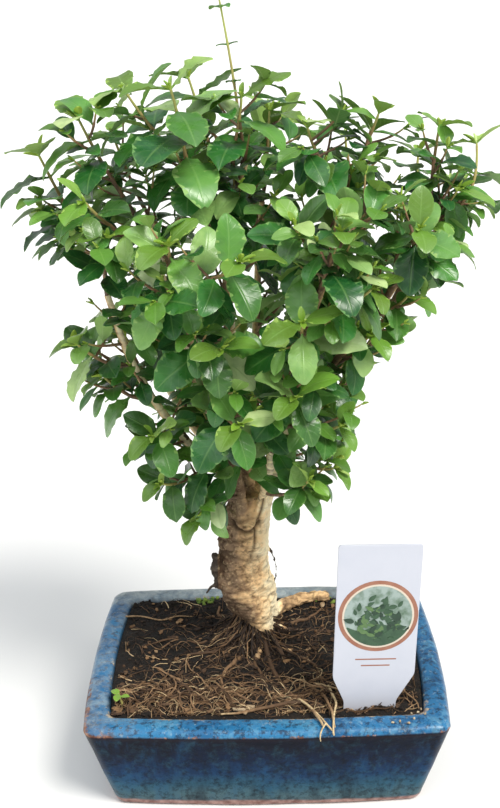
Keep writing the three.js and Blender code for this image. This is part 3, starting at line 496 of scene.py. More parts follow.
def within_crown(tip):
    """Whether a place lies no further out or up than the shoots round it do."""
    near = TIP_PLACES[norm(TIP_PLACES - tip, axis=1) < TWIG_REACH]
    if len(near) == 0:
        return False
    out = norm((near[:, :2] - TRUNK_MIDDLE) / CROWN_SHAPE, axis=1).max()
    here = norm((tip[:2] - TRUNK_MIDDLE) / CROWN_SHAPE)
    if here > out + TWIG_EXCESS / CROWN_SHAPE[0] or tip[2] > near[:, 2].max() + TWIG_EXCESS:
        return False
    return not in_opening(tip[None])


def grow_twig(draw, start, parent_way, owner, length, radius, goal=None):
    """A side twig with pairs of leaves, or None where it would stand in other wood."""
    outward = unit([start[0] - TRUNK_X, start[1] - TRUNK_Y, 8])
    shares = np.linspace(0, 1, 6)
    for attempt in range(6):
        aside = np.array([draw(-1, 1), draw(-1, 1), draw(-0.5, 0.7)])
        heading = unit(outward * 0.5 + parent_way * 0.35 + aside * 0.9 + UP * 0.12)
        if goal is not None:
            heading = goal - start + aside * 4
            length = norm(heading)
            heading = heading / length
        first = unit(heading + square_to(heading, parent_way) * 0.6)
        tip = start + heading * length
        last = unit(heading + UP * 0.45)
        control = [start, start + first * 0.35 * length, tip - last * 0.3 * length, tip]
        places = sample(bezier_point, control, shares)
        if goal is None and not within_crown(tip):
            continue
        near = foliage.near_woods(places[3], length * 0.7)
        rooms = [0.9 + (0.8 if wood["owner"] is owner else 0) for wood in near]
        if all(distance_to_chain(places[2:], w["chain"]).min() > room for w, room in zip(near, rooms)):
            break
    else:
        return None
    first_turn, middle_length = draw(0, pi), draw(12, 19)
    leaves, nodes = [], []
    while 0.97 - len(nodes) * TWIG_SPACING / length > 0.25:
        node = len(nodes)
        u = 0.97 - node * TWIG_SPACING / length
        base, way = bezier_point(control, u), bezier_way(control, u)
        spin = first_turn + node * pi / 2 + draw(-0.3, 0.3)
        for half in (0, 1):
            looks = draw_looks(draw, 0.35 - 0.3 * node)
            size = middle_length * draw(0.8, 1.15) * (0.85 if node == 0 else 1.05)
            lean = (0.65 if node == 0 else 0.95) + draw(-0.15, 0.2)
            leaf = foliage.grow((base, way, spin + half * pi, lean, size, looks), owner, LOOSE)
            if leaf and not in_opening(leaf_point(leaf, np.array([0.35, 0.6, 0.85, 1.0]), np.zeros(4))):
                leaves.append(leaf)
        nodes.append(u)
    if not leaves:
        return None
    foliage.add_wood({"owner": control, "chain": (places, blend(radius, TWIG_END_RADIUS, shares))})
    return {"control": control, "length": length, "radius": radius, "nodes": nodes, "leaves": leaves}


def grow_spray(draw, point, way, curve, owner, count, span, lengths, radius, goals=()):
    """Twigs along a share of a limb or stem, and then those towards goals."""
    spray = []
    for j in range(count):
        t = span[0] + span[1] * (j + draw(0.1, 0.9)) / count
        spray.append(grow_twig(draw, point(curve, t), way(curve, t), owner, draw(*lengths), radius))
    for t, goal in goals:
        spray.append(grow_twig(draw, point(curve, t), way(curve, t), owner, 0, radius, np.array(goal, float)))
    return [twig for twig in spray if twig]


limbs = [grow_limb(*row) for row in LIMBS]
trunk_rows = np.array(TRUNK_ROWS, float)
# Wood that the shoots keep clear of; the label's room is taken as one thick bar
label_bar = (np.array([[46.0, -43.0, 50.0], [46.0, -43.0, 104.0]]), np.full(2, 18.5))
trunk_bar = (trunk_rows[:, :3], trunk_rows[:, 3] * 1.08)
woods = [{"owner": "trunk", "chain": trunk_bar}, {"owner": "label", "chain": label_bar}]
woods += [{"owner": limb, "chain": limb["chain"]} for limb in limbs]
shoots = grow_stems(limbs, woods)
foliage = Foliage(woods)
crown = [grow_leaves(shoot, k) for k, shoot in enumerate(shoots)]
for shoot, (grown, missed) in zip(shoots, crown):
    # Leaves that found no room at first, with less room kept round them
    grown += filter(None, [foliage.grow(spot, shoot["control"], LOOSE) for spot in missed])

limb_sprays = []
for index, limb in enumerate(limbs):
    goals = [row[1:] for row in FILLING_TWIGS if row[0] == index]
    limb_sprays.append(grow_spray(
        make_draw(3000 + index), spline_point, spline_way, limb["points"], limb, LIMB_TWIGS, (0.16, 0.82),
        (13, 27), 0.75, goals,
    ))
stem_sprays = []
for k, shoot in enumerate(shoots):
    count = 0 if k == TALL else STEM_TWIGS + FULLER_SHOOTS.get(k, 0)
    span = (0.12, 0.5 if count == STEM_TWIGS else 0.75)
    stem_sprays.append(grow_spray(
        make_draw(4000 + k), bezier_point, bezier_way, shoot["control"], shoot["control"], count, span,
        (11, 20), 0.6,
    ))

# Meshes
class Piece:
    """Points, faces, material numbers and marks gathered for one mesh.

    A mark is three numbers that the materials read: on a leaf the share of its length, the place across it
    from -1 to 1 and its tone; on wood the distance along, the turn round it and its tone.
    age runs from 0, old, to 1, young."""

    def __init__(self):
        self.points, self.corners, self.sizes, self.slots, self.marks, self.ages = [], [], [], [], [], []
        self.count = 0

    def add(self, points, faces, slot=0, marks=(0, 0, 0), age=0.0):
        points = np.asarray(points, float).reshape(-1, 3)
        for group in faces:
            self.corners.append((group + self.count).ravel())
            self.sizes.append(np.full(len(group), group.shape[1]))
        self.slots.append(np.broadcast_to(slot, (sum(map(len, faces)),)))
        self.points.append(points)
        self.marks.append(np.broadcast_to(marks, points.shape))
        self.ages.append(np.broadcast_to(age, (len(points),)))
        self.count += len(points)

    def add_rings(self, rings, slot=0, marks=(0, 0, 0), age=0.0, inward=False):
        """A closed skin over rings of points; inward where they run round the other way."""
        index = np.arange(len(rings) * len(rings[0])).reshape(len(rings), -1)
        around = np.roll(index, -1, axis=1)
        quads = np.stack([index[:-1], around[:-1], around[1:], index[1:]], -1).reshape(-1, 4)
        faces = [quads, index[:1, ::-1], index[-1:]]
        if inward:
            faces = [np.roll(quads[:, ::-1], 1, axis=1), index[:1], index[-1:, ::-1]]
        self.add(np.vstack(rings), faces, slot, marks, age)

    def build(self, name, materials, sharp=70):
        mesh = bpy.data.meshes.new(name)
        points = np.vstack(self.points) * MM
        sizes, corners = np.concatenate(self.sizes), np.concatenate(self.corners)
        mesh.vertices.add(len(points))
        mesh.vertices.foreach_set("co", points.astype(np.float32).ravel())
        mesh.loops.add(len(corners))
        mesh.loops.foreach_set("vertex_index", corners.astype(np.int32))
        mesh.polygons.add(len(sizes))
        mesh.polygons.foreach_set("loop_start", (np.cumsum(sizes) - sizes).astype(np.int32))
        mesh.polygons.foreach_set("material_index", np.concatenate(self.slots).astype(np.int32))
        mesh.update(calc_edges=True)
        mesh.validate()
        mesh.polygons.foreach_set("use_smooth", [True] * len(mesh.polygons))
        mesh.set_sharp_from_angle(angle=radians(sharp))
        set_marks(mesh, np.vstack(self.marks))
        age = mesh.attributes.new("age", "FLOAT", "POINT")
        age.data.foreach_set("value", np.concatenate(self.ages).astype(np.float32))
        for material in materials:
            mesh.materials.append(material)
        return add_object(name, mesh)


def set_marks(mesh, marks):
    mark = mesh.attributes.get("mark") or mesh.attributes.new("mark", "FLOAT_VECTOR", "POINT")
    mark.data.foreach_set("vector", marks.astype(np.float32).ravel())


def add_object(name, data):
    made = bpy.data.objects.new(name, data)
    bpy.context.scene.collection.objects.link(made)
    return made


def apply(made, kind, **settings):
    """Replaces an object's mesh by what a modifier makes of it."""
    modifier = made.modifiers.new(kind.lower(), kind)
    for key, value in settings.items():
        setattr(modifier, key, value)
    old = made.data
    shaped = made.evaluated_get(bpy.context.evaluated_depsgraph_get())
    mesh = bpy.data.meshes.new_from_object(shaped)
    made.modifiers.clear()
    made.data = mesh
    bpy.data.meshes.remove(old)
    return made


def leaf_grid(rows, columns):
    """Faces of a closed blade: rows of points from the foot to a single tip point, above and below."""
    last = rows - 1
    above = np.arange(last * columns).reshape(last, columns)
    inner = last * columns + np.arange(last * (columns - 2)).reshape(last, columns - 2)
    below = np.hstack([above[:, :1], inner, above[:, -1:]])
    tip = np.full(columns - 1, last * (2 * columns - 2))
    quads, fans = [], []
    for grid in (above, below):
        quads.append(np.stack([grid[:-1, :-1], grid[:-1, 1:], grid[1:, 1:], grid[1:, :-1]], -1).reshape(-1, 4))
        fans.append(np.stack([grid[-1, :-1], grid[-1, 1:], tip], -1))
    foot = np.concatenate([above[0], below[0, -2:0:-1]])[::-1][None]
    slots = np.repeat([0, 1, 0, 1, 1], [len(quads[0])] * 2 + [len(fans[0])] * 2 + [1])
    return [np.vstack([quads[0], quads[1][:, ::-1]]), np.vstack([fans[0], fans[1][:, ::-1]]), foot], slots


LARGE_LEAF = 20.5
LARGE_ROWS = np.array([0, 0.06, 0.11, *np.linspace(0.16, 0.94, 14), 0.985, 1])
FINE_ROWS = np.array([0, 0.07, 0.12, 0.19, 0.3, 0.42, 0.55, 0.68, 0.8, 0.9, 0.97, 1])
FINE_COLUMNS = np.array([-1, -0.66, -0.26, 0, 0.26, 0.66, 1])
PLAIN_ROWS = np.array([0, 0.09, 0.16, 0.3, 0.5, 0.7, 0.88, 0.97, 1])
PLAIN_COLUMNS = np.array([-1, -0.6, 0, 0.6, 1])
GRIDS = {rows.size: leaf_grid(rows.size, columns.size) for rows, columns in
         ((LARGE_ROWS, FINE_COLUMNS), (FINE_ROWS, FINE_COLUMNS), (PLAIN_ROWS, PLAIN_COLUMNS))}


def add_leaf(piece, leaf, tone, fine=True):
    large = fine and leaf["length"] > LARGE_LEAF
    rows = LARGE_ROWS if large else FINE_ROWS if fine else PLAIN_ROWS
    s, c = np.meshgrid(rows[:-1], FINE_COLUMNS if fine else PLAIN_COLUMNS, indexing="ij")
    scallop = np.where(np.arange(len(rows) - 1) % 2 == 0, 1.0, -1.0) * np.sin(9 * rows[:-1] + leaf["phase"])
    scallop = (0.034 if large else 0.01) * scallop * (rows[:-1] > 0.14)
    middle = leaf_point(leaf, s, c * (1 + scallop[:, None] * c * c))
    half = np.maximum(half_width(leaf, s), PETIOLE_HALF_WIDTH)
    ripple = leaf["wave"] * leaf["width"] * c * np.abs(c) * np.minimum(1, s / 0.3) * (1 - s)
    ripple = ripple * (1.5 if large else 0.8) * np.sin(31 * s + 2 * leaf["phase"] + 2 * c)
    groove = np.exp(-((c * half / 0.7) ** 2)) * np.minimum(1, s / 0.3) * (1 - 0.7 * s)
    stalk = np.clip(1 - (s - PETIOLE_SHARE) / 0.12, 0, 1)
    thick = (0.15 + 0.25 * stalk) * np.sqrt(np.clip(1 - c * c, 0, 1))
    upper = middle + (ripple + thick - 0.22 * groove)[..., None] * leaf["normal"]
    lower = middle + (ripple - thick - 0.22 * groove - 0.2 * groove)[..., None] * leaf["normal"]
    points = [upper.reshape(-1, 3), lower[:, 1:-1].reshape(-1, 3), leaf_point(leaf, 1.0, 0.0)[None]]
    marks = np.stack([s, c, np.full_like(s, tone)], -1)
    marks = np.vstack([marks.reshape(-1, 3), marks[:, 1:-1].reshape(-1, 3), [[1, 0, tone]]])
    piece.add(np.vstack(points), *GRIDS[rows.size], marks, leaf["young"])


def add_tube(piece, points, radii, sides, slot=0, age=0.0, tone=0.5, shape=None):
    """A round bar through points; shape(i, angles) gives factors for the radius round station i."""
    points = np.asarray(points, float)
    count = len(points)
    ways = unit(np.gradient(points, axis=0))
    side = np.cross(UP, ways[0])
    if norm(side) < 0.3:
        side = RIGHT
    angles = np.arange(sides) / sides * 2 * pi
    rings, marks, tones = [], [], np.broadcast_to(tone, (count,))
    along = np.concatenate([[0], np.cumsum(norm(np.diff(points, axis=0), axis=1))])
    for i in range(count):
        side = unit(square_to(side, ways[i]))
        cross = np.cross(ways[i], side)
        reach = radii[i] * (np.ones(sides) if shape is None else shape(i, angles))
        x, y = reach * np.cos(angles), reach * np.sin(angles)
        rings.append(points[i] + x[:, None] * side + y[:, None] * cross)
        marks.append(np.stack([np.full(sides, along[i]), np.cos(angles), np.full(sides, tones[i])], -1))
    ages = np.repeat(np.broadcast_to(age, (count,)), sides)
    piece.add_rings(rings, slot, np.vstack(marks), ages)


def add_stem(piece, stem, radii, nodes, youngest=1.0, stub=None, green=0.0):
    """A leafy stem, thicker where leaves stand on it; green is how far down the young bark comes."""
    shares = np.linspace(0, 1, max(8, int(stem["length"] / 1.4)))
    points = sample(bezier_point, stem["control"], shares)
    sizes = blend(*radii, shares)
    for u in nodes:
        sizes = sizes * (1 + 0.3 * np.exp(-(((shares - u) * stem["length"] / 0.9) ** 2)))
    age = youngest * np.clip(shares * 1.4 - 0.4 + green, 0, 1)
    if stub is not None:
        points = np.vstack([stub, points])
        sizes = np.concatenate([[radii[0] * 1.15] * len(stub), sizes])
        age = np.concatenate([[0] * len(stub), age])
    sizes[-1] *= 0.6
    add_tube(piece, points, sizes, 7, 2, age)


def add_tip(piece, draw, stem, size, pairs=2):
    """Small folded young leaves at the end of a stem."""
    base, way = bezier_point(stem["control"], 0.99), bezier_way(stem["control"], 1)
    for j in range(pairs):
        turn = draw(0, pi)
        for half in (0, 1):
            looks = draw_looks(draw)
            looks.update(broad=0.42, young=1.0, fold=0.5, wave=0.01, arch=0.05)
            length = size * draw(0.75, 1.1) * (0.7 + 0.35 * j)
            leaf = shape_leaf(base, way, turn + half * pi, 0.28 + 0.3 * j, length, looks)
            add_leaf(piece, leaf, draw(0.4, 1), fine=False)


# Materials
def srgb(code):
    parts = [int(code[i:i + 2], 16) / 255 for i in (0, 2, 4)]
    return tuple(p / 12.92 if p <= 0.04045 else ((p + 0.055) / 1.055) ** 2.4 for p in parts) + (1.0,)


class Surface:
    """A node material that is put together one step at a time; colour is its base colour so far."""

    def __init__(self, name, roughness=0.5, specular=None):
        self.material = bpy.data.materials.new(name)
        self.material.use_nodes = True
        self.tree = self.material.node_tree
        self.inputs = self.tree.nodes["Principled BSDF"].inputs
        self.inputs["Roughness"].default_value = roughness
        if specular is not None:
            self.inputs["Specular IOR Level"].default_value = specular
        self.place = self.node("ShaderNodeTexCoord").outputs["Object"]

    def node(self, kind, inputs=(), **settings):
        made = self.tree.nodes.new(kind)
        for key, value in settings.items():
            setattr(made, key, value)
        for key, value in dict(inputs).items():
            self.link(value, made.inputs[key])
        return made

    def link(self, value, socket):
        if isinstance(value, bpy.types.NodeSocket):
            self.tree.links.new(value, socket)
        else:
            socket.default_value = srgb(value) if isinstance(value, str) else value

    def noise(self, scale, detail=3.0, rough=0.55, place=None, distortion=0.0):
        return self.node("ShaderNodeTexNoise", {
            "Vector": place or self.place, "Scale": scale, "Detail": detail,
            "Roughness": rough, "Distortion": distortion,
        }).outputs["Fac"]

    def stretch(self, x, y, z):
        return self.node("ShaderNodeMapping", {"Vector": self.place, "Scale": (x, y, z)}).outputs["Vector"]

    def math(self, operation, a, b=0.0, clamp=False):
        return self.node("ShaderNodeMath", {0: a, 1: b}, operation=operation, use_clamp=clamp).outputs[0]

    def times(self, a, b, clamp=False):
        return self.math("MULTIPLY", a, b, clamp)

    def plus(self, a, b):
        return self.math("ADD", a, b)

    def span(self, value, low, high, to_low=0.0, to_high=1.0, kind="LINEAR"):
        return self.node("ShaderNodeMapRange", {
            "Value": value, "From Min": low, "From Max": high, "To Min": to_low, "To Max": to_high,
        }, interpolation_type=kind).outputs["Result"]

    def ramp(self, value, *stops):
        """Colours by value; stops are positions and colours by turns."""
        made = self.node("ShaderNodeValToRGB", {"Fac": value})
        elements = made.color_ramp.elements
        while len(elements) < len(stops) / 2:
            elements.new(0.5)
        for element, where, colour in zip(elements, stops[::2], stops[1::2]):
            element.position, element.color = where, srgb(colour)
        return made.outputs["Color"]

    def mix(self, factor, a, b):
        return self.node("ShaderNodeMix", {0: factor, 6: a, 7: b}, data_type="RGBA").outputs[2]

    def cover(self, factor, colour):
        self.colour = self.mix(factor, self.colour, colour)

    def spots(self, value, low, high, share, colour):
        """Covers up to a share of the colour so far where value goes from low to high."""
        self.cover(self.span(value, low, high, 0.0, share), colour)

    def marks(self):
        made = self.node("ShaderNodeAttribute", attribute_name="mark")
        return self.node("ShaderNodeSeparateXYZ", {0: made.outputs["Vector"]}).outputs[:3]

    def age(self):
        return self.node("ShaderNodeAttribute", attribute_name="age").outputs["Fac"]

    def done(self, height, strength, distance):
        """The finished material, with its bump."""
        self.link(self.colour, self.inputs["Base Color"])
        bump = self.node("ShaderNodeBump", {"Height": height, "Strength": strength, "Distance": distance})
        self.link(bump.outputs["Normal"], self.inputs["Normal"])
        return self.material

    def veins(self, s, c, side_share):
        """How much of a vein there is at a point of the blade."""
        across = self.math("ABSOLUTE", c)
        rib = self.span(across, 0.01, 0.09, 1.0, 0.0, "SMOOTHSTEP")
        run = self.math("SUBTRACT", self.times(s, 7.0), self.times(across, 1.7))
        wave = self.math("ABSOLUTE", self.math("SUBTRACT", self.math("FRACT", run), 0.5))
        return self.math("MAXIMUM", rib, self.span(wave, 0.0, 0.12, side_share, 0.0, "SMOOTHSTEP"))


def leaf_top():
    look = Surface("leaf_upper", 0.4, 0.6)
    s, c, tone = look.marks()
    # The leaves' own tones run from deep to light green; the two palest stops are a painted sheen.
    look.colour = look.ramp(
        tone, 0.0, "103f18", 0.35, "205d1e", 0.65, "3d7e2c", 0.86, "6a9d4a", 0.95, "a3c676", 1.0, "d0e0ac")
    look.spots(look.noise(70), 0.42, 0.75, 0.55, "225c38")
    look.spots(look.noise(240, 2), 0.5, 0.75, 0.35, "4a8644")
    look.cover(look.times(look.age(), 0.6, clamp=True), "96b53c")
    veins = look.veins(s, c, 0.3)
    look.cover(look.times(veins, 0.22), "8fb869")
    look.spots(look.math("ABSOLUTE", c), 0.86, 1.0, 0.3, "7fa457")
    look.link(look.span(look.noise(160, 2), 0.3, 0.7, 0.24, 0.4), look.inputs["Roughness"])
    return look.done(look.plus(veins, look.times(look.noise(700, 2), 0.5)), 0.3, 0.0003)


def leaf_underside():
    look = Surface("leaf_underside", 0.6)
    s, c, tone = look.marks()
    # The pale yellow-green is partly the leaves' own paler underside and partly a painted glow of light shining
    # through the leaf.
    look.colour = look.ramp(tone, 0.0, "4a7a40", 0.5, "6b9a4e", 1.0, "94bb66")
    look.spots(look.noise(120, 2), 0.4, 0.7, 0.5, "7a9a62")
    look.cover(look.times(look.age(), 0.8, clamp=True), "a3bb3c")
    veins = look.veins(s, c, 0.4)
    look.cover(look.times(veins, 0.35), "adc487")
    return look.done(veins, 0.3, 0.0003)


def twig_bark():
    look = Surface("twig_bark", 0.65)
    grain = look.noise(500, place=look.stretch(1, 1, 0.25))
    look.colour = look.ramp(look.age(), 0.0, "5e4c3e", 0.3, "86624a", 0.6, "9a8c50", 1.0, "a9b65e")
    look.spots(grain, 0.35, 0.7, 0.55, "a98460")
    return look.done(grain, 0.4, 0.0003)


def trunk_bark():
    """Marks: height in mm; place across the trunk from -1, left, to 1, right, by which the right side is
    painted lit and the left painted in shade; painted shade in cracks, creases and grooves from 0 to 1, with
    bare smooth wood below 0.
    """
    look = Surface("trunk_bark", 0.85, 0.15)
    height, side, crevice_shade_and_bare = look.marks()
    broad = look.noise(60, 4, 0.65, distortion=0.8)
    fine = look.noise(420, 4, 0.7)
    rings = look.noise(190, 4, 0.65, place=look.stretch(0.4, 0.4, 1.5), distortion=0.5)
    # Painted light: the bark runs from deep brown on the shaded left to pale cream on the lit right, and its
    # blackish rings and patches thin out on the lit side.
    shaded_side_share = look.span(side, 0.1, 0.9, 1.0, 0.35)
    lit = look.plus(side, look.span(broad, 0.3, 0.7, -0.55, 0.55))
    look.colour = look.ramp(
        look.span(lit, -1.0, 1.0),
        0.0, "655241", 0.3, "967d64", 0.5, "cea97d", 0.66, "f6cf9b", 0.84, "ffe6b8", 1.0, "fff0cb")
    look.cover(look.times(shaded_side_share, look.span(rings, 0.5, 0.62, 0.0, 0.7)), "6d5340")
    look.spots(fine, 0.53, 0.68, 0.55, "e2c69a")
    look.cover(look.times(shaded_side_share, look.span(look.noise(300, 3, 0.6), 0.56, 0.68, 0.0, 0.6)), "55402f")
    grain = look.noise(90, place=look.stretch(1, 1, 0.4))
    look.spots(crevice_shade_and_bare, -0.2, -0.8, 0.9, look.ramp(grain, 0.3, "c9a67f", 0.6, "ecc897", 0.8, "fbe3b8"))
    # Painted shade in cracks, creases, grooves and below the trunk's lip
    look.spots(crevice_shade_and_bare, 0.0, 1.0, 0.92, "2a1d15")
    grey = look.times(look.span(side, -1.25, -1.5), look.span(height, 100, 94))
    look.cover(look.times(grey, 0.85), look.ramp(fine, 0.35, "2f2b28", 0.6, "4f4943", 0.8, "6b645c"))
    return look.done(look.plus(fine, rings), 0.7, 0.0007)


def root_skin():
    look = Surface("root_skin", 0.85)
    grain = look.noise(600)
    look.colour = look.ramp(
        look.marks()[2], 0.0, "150d09", 0.3, "33241a", 0.6, "644a33", 0.82, "937353", 1.0, "d2ba90")
    look.spots(grain, 0.45, 0.7, 0.6, "463323")
    return look.done(grain, 0.4, 0.0003)


def peat():
    look = Surface("peat", 0.95)
    coarse = look.noise(150, 5, 0.7)
    grit = look.noise(800, 3, 0.65)
    look.colour = look.ramp(coarse, 0.35, "060403", 0.5, "100b08", 0.64, "1f150e", 0.78, "402e1f")
    look.spots(grit, 0.6, 0.7, 0.75, "5f4832")
    cells = look.node("ShaderNodeTexVoronoi", {"Vector": look.place, "Scale": 420}).outputs["Distance"]
    look.cover(look.span(cells, 0.0, 0.4, 0.85, 0.0), "0b0705")
    return look.done(look.plus(coarse, grit), 1.0, 0.0016)


def crumb():
    look = Surface("crumb", 0.9)
    look.colour = look.ramp(
        look.marks()[2], 0.0, "0a0605", 0.45, "211710", 0.7, "523b28", 0.85, "8c6b49", 1.0, "d6c6a8")
    look.spots(look.noise(800), 0.45, 0.7, 0.45, "2a1c14")
    look.cover(look.age(), look.ramp(look.noise(300, 2), 0.35, "3c5a22", 0.65, "7f9440"))
    return look.done(look.noise(700), 0.5, 0.0005)


def glaze(name, gloss):
    """Marks: wear of the outer edges, share of the bright rim, greyness; age: wear of the inner edge."""
    look = Surface(name, 0.3, gloss)
    apart = look.node("ShaderNodeSeparateXYZ", {0: look.place}).outputs
    height = look.times(apart[2], 1000.0)
    wear, facing, grey = look.marks()
    specks = look.noise(330, 5, 0.75)
    mottle = look.noise(170, 5, 0.7, distortion=0.4)
    clouds = look.noise(34, 4, 0.6, distortion=0.8)
    streaks = look.noise(110, 4, 0.65, place=look.stretch(1, 1, 0.18))
    level = look.plus(height, look.span(clouds, 0.3, 0.7, -4.0, 4.0))
    look.colour = look.ramp(
        look.span(level, 0.0, 43.0), 0.0, "50636a", 0.14, "45626b", 0.3, "2a5368", 0.46, "12365a",
        0.64, "0a203e", 0.84, "081428", 1.0, "0b0b1a")
    look.spots(streaks, 0.48, 0.64, 0.6, "07101f")
    look.spots(streaks, 0.48, 0.34, 0.3, "1f5278")
    look.spots(mottle, 0.5, 0.68, 0.25, "356170")
    look.spots(specks, 0.48, 0.62, 0.6, "060b15")
    wall = look.colour
    look.colour = look.ramp(clouds, 0.25, "124269", 0.42, "1a5a88", 0.58, "2a719f", 0.75, "427f9f")
    look.spots(specks, 0.5, 0.58, 0.85, "0f2b46")
    look.spots(mottle, 0.53, 0.62, 0.55, "5a90b0")
    look.spots(look.noise(520, 4, 0.7), 0.58, 0.68, 0.45, "98a6b0")
    left = look.times(look.span(apart[0], -0.05, -0.07), look.span(mottle, 0.35, 0.6))
    look.cover(look.times(left, 0.55), look.ramp(specks, 0.35, "647686", 0.6, "9aa4ab"))
    look.colour = look.mix(facing, wall, look.colour)
    pale_grey = look.ramp(mottle, 0.3, "5c6a70", 0.5, "98a2a5", 0.7, "c0c5c2")
    look.cover(grey, look.mix(look.span(apart[0], 0.0, 0.03, 0.0, 0.6), pale_grey, "5f625c"))
    ragged = look.plus(wear, look.span(look.noise(190, 4, 0.75), 0.3, 0.7, -0.45, 0.45))
    look.spots(ragged, 0.55, 0.75, 1.0, look.ramp(look.noise(300), 0.3, "3d2623", 0.5, "6f4a3c", 0.7, "b28a72"))
    pale = look.plus(look.age(), look.span(look.noise(150, 4, 0.75), 0.3, 0.7, -0.4, 0.4))
    look.spots(pale, 0.55, 0.75, 1.0, look.ramp(specks, 0.35, "7c6552", 0.6, "c9b79b"))
    # Painted shadow in a band on the wall just below the rim's lip
    under_lip_shade = look.times(look.span(height, 39.6, 41.4), look.span(height, 42.4, 41.6))
    look.cover(look.times(under_lip_shade, 0.8), "17101c")
    foot = look.plus(height, look.span(look.noise(26, 2), 0.3, 0.7, -1.0, 1.0))
    look.cover(look.span(foot, 2.6, 3.8, 0.9, 0.0), look.ramp(look.noise(240), 0.35, "7c564d", 0.65, "b8938a"))
    look.link(look.span(ragged, 0.4, 0.9, 0.3, 0.65), look.inputs["Roughness"])
    return look.done(look.plus(mottle, look.times(clouds, 2.0)), 0.3, 0.0006)


def plain(name, code, roughness, second=None, scale=300, amount=0.4):
    look = Surface(name, roughness)
    look.colour = look.mix(look.span(look.noise(scale), 0.4, 0.7, 0.0, amount), code, second or code)
    return look.done(look.noise(scale * 2, 2), 0.1, 0.0002)


LEAF_MATERIALS = [leaf_top(), leaf_underside(), twig_bark()]
BARK, ROOT, PEAT, CRUMB = trunk_bark(), root_skin(), peat(), crumb()
GLAZES = [glaze("blue_glaze", 0.09), glaze("rim_glaze", 0.4)]


def finish_piece(made, slot, *nodes):
    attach(made, "root")
    if nodes:
        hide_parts(*nodes)


# Leafy shoots
def add_leaves(piece, draw, leaves):
    for leaf in leaves:
        add_leaf(piece, leaf, draw(0, 1))


def add_twigs(piece, draw, twigs):
    for twig in twigs:
        add_stem(piece, twig, (twig["radius"], TWIG_END_RADIUS), twig["nodes"], 0.8)
        add_leaves(piece, draw, twig["leaves"])
        add_tip(piece, draw, twig, draw(4, 6), 1)


for k, shoot in enumerate(shoots):
    piece, draw = Piece(), make_draw(7000 + k)
    stub = np.array([shoot["from"], shoot["from"] + shoot["first"] * shoot["stub"] * 0.6])
    slim = 0.62 if k == TALL else 1.0
    radii = (shoot["start_radius"] * slim, SHOOT_END_RADIUS * 0.85 * slim)
    add_stem(piece, shoot, radii, leaf_nodes(shoot, k), 1.0, stub, 0.6 * (k == TALL))
    add_leaves(piece, draw, crown[k][0])
    add_tip(piece, draw, shoot, draw(5, 8))
    add_twigs(piece, draw, stem_sprays[k])
    node = "tall_shoot" if k == TALL else f"shoot_{k + 1:02d}"
    finish_piece(piece.build("leafy_" + node, LEAF_MATERIALS), f"leaves_{k % 6 + 1}", node)

for index, spray in enumerate(limb_sprays):
    piece = Piece()
    add_twigs(piece, make_draw(8000 + index), spray)
    if spray:
        finish_piece(piece.build(f"inner_spray_{index + 1:02d}", LEAF_MATERIALS), "leaves_2")


# Trunk, limbs and roots
def bark_lump(angle, z):
    return 1 + 0.05 * np.sin(3 * angle + z / 9) + 0.035 * np.sin(2 * angle - z / 6)


def soil_height(x, y):
    away = np.hypot(x - TRUNK_X, y - TRUNK_Y)
    mound = MOUND_HEIGHT * np.exp(-((away / MOUND_SPREAD) ** 2))
    return SOIL_LEVEL + mound + 0.5 * np.sin(x * 0.31 + y * 0.17) + 0.4 * np.sin(y * 0.41 - x * 0.13)


def surface_roots():
    """Start and end radius and points of each root: those by rule, then those listed."""
    draw = make_draw(ROOT_SEED)
    roots = []
    for k in range(ROOT_COUNT):
        angle = ((k + draw(-0.25, 0.25)) / ROOT_COUNT) * 2 * pi
        bend, radius = draw(-0.35, 0.35), draw(0.8, 1.4)
        edge_x = (ROOT_AREA[0] - copysign(1, cos(angle)) * TRUNK_X) / abs(cos(angle))
        edge_y = (ROOT_AREA[1] - copysign(1, sin(angle)) * TRUNK_Y) / abs(sin(angle))
        reach = min(edge_x, edge_y, 62) * draw(0.72, 0.9)
        points = []
        for share in np.arange(ROOT_STEPS + 1) / ROOT_STEPS:
            away = blend(2, reach, share)
            turn = angle + bend * share + 0.13 * sin(share * 7 + k)
            x, y = TRUNK_X + away * cos(turn), TRUNK_Y + away * sin(turn)
            points.append((x, y, soil_height(x, y) + 0.35 * radius + 0.6 * max(0, 11 - away)))
        roots.append((radius * 1.25, 0.6, points))
    return roots + PLACED_ROOTS


def smooth_way(points, step):
    """Evenly spread places along the smooth curve through points, with their shares."""
    points = np.array(points, float)
    shares = np.linspace(0, 1, max(6, int(norm(np.diff(points, axis=0), axis=1).sum() / step)))
    return sample(spline_point, points, shares), shares


def knotty(seed, amount):
    """Factors for a tube's radius that make it uneven."""
    return lambda i, angles: np.array(
        [1 + amount * noise.noise((i * 0.35, cos(a) + seed, sin(a) * 1.3)) for a in angles])


def relax(mesh, rounds):
    """Moves each point towards the middle of its neighbours."""
    count = len(mesh.vertices)
    co, edges = np.zeros(count * 3), np.zeros(len(mesh.edges) * 2, int)
    mesh.vertices.foreach_get("co", co)
    mesh.edges.foreach_get("vertices", edges)
    co = co.reshape(-1, 3)
    a, b = edges.reshape(-1, 2).T
    degree = np.bincount(np.concatenate([a, b]), minlength=count)[:, None]
    for _ in range(rounds):
        total = np.zeros_like(co)
        np.add.at(total, a, co[b])
        np.add.at(total, b, co[a])
        co = 0.5 * co + 0.5 * total / np.maximum(degree, 1)
    mesh.vertices.foreach_set("co", co.ravel())
    mesh.update()
    return co


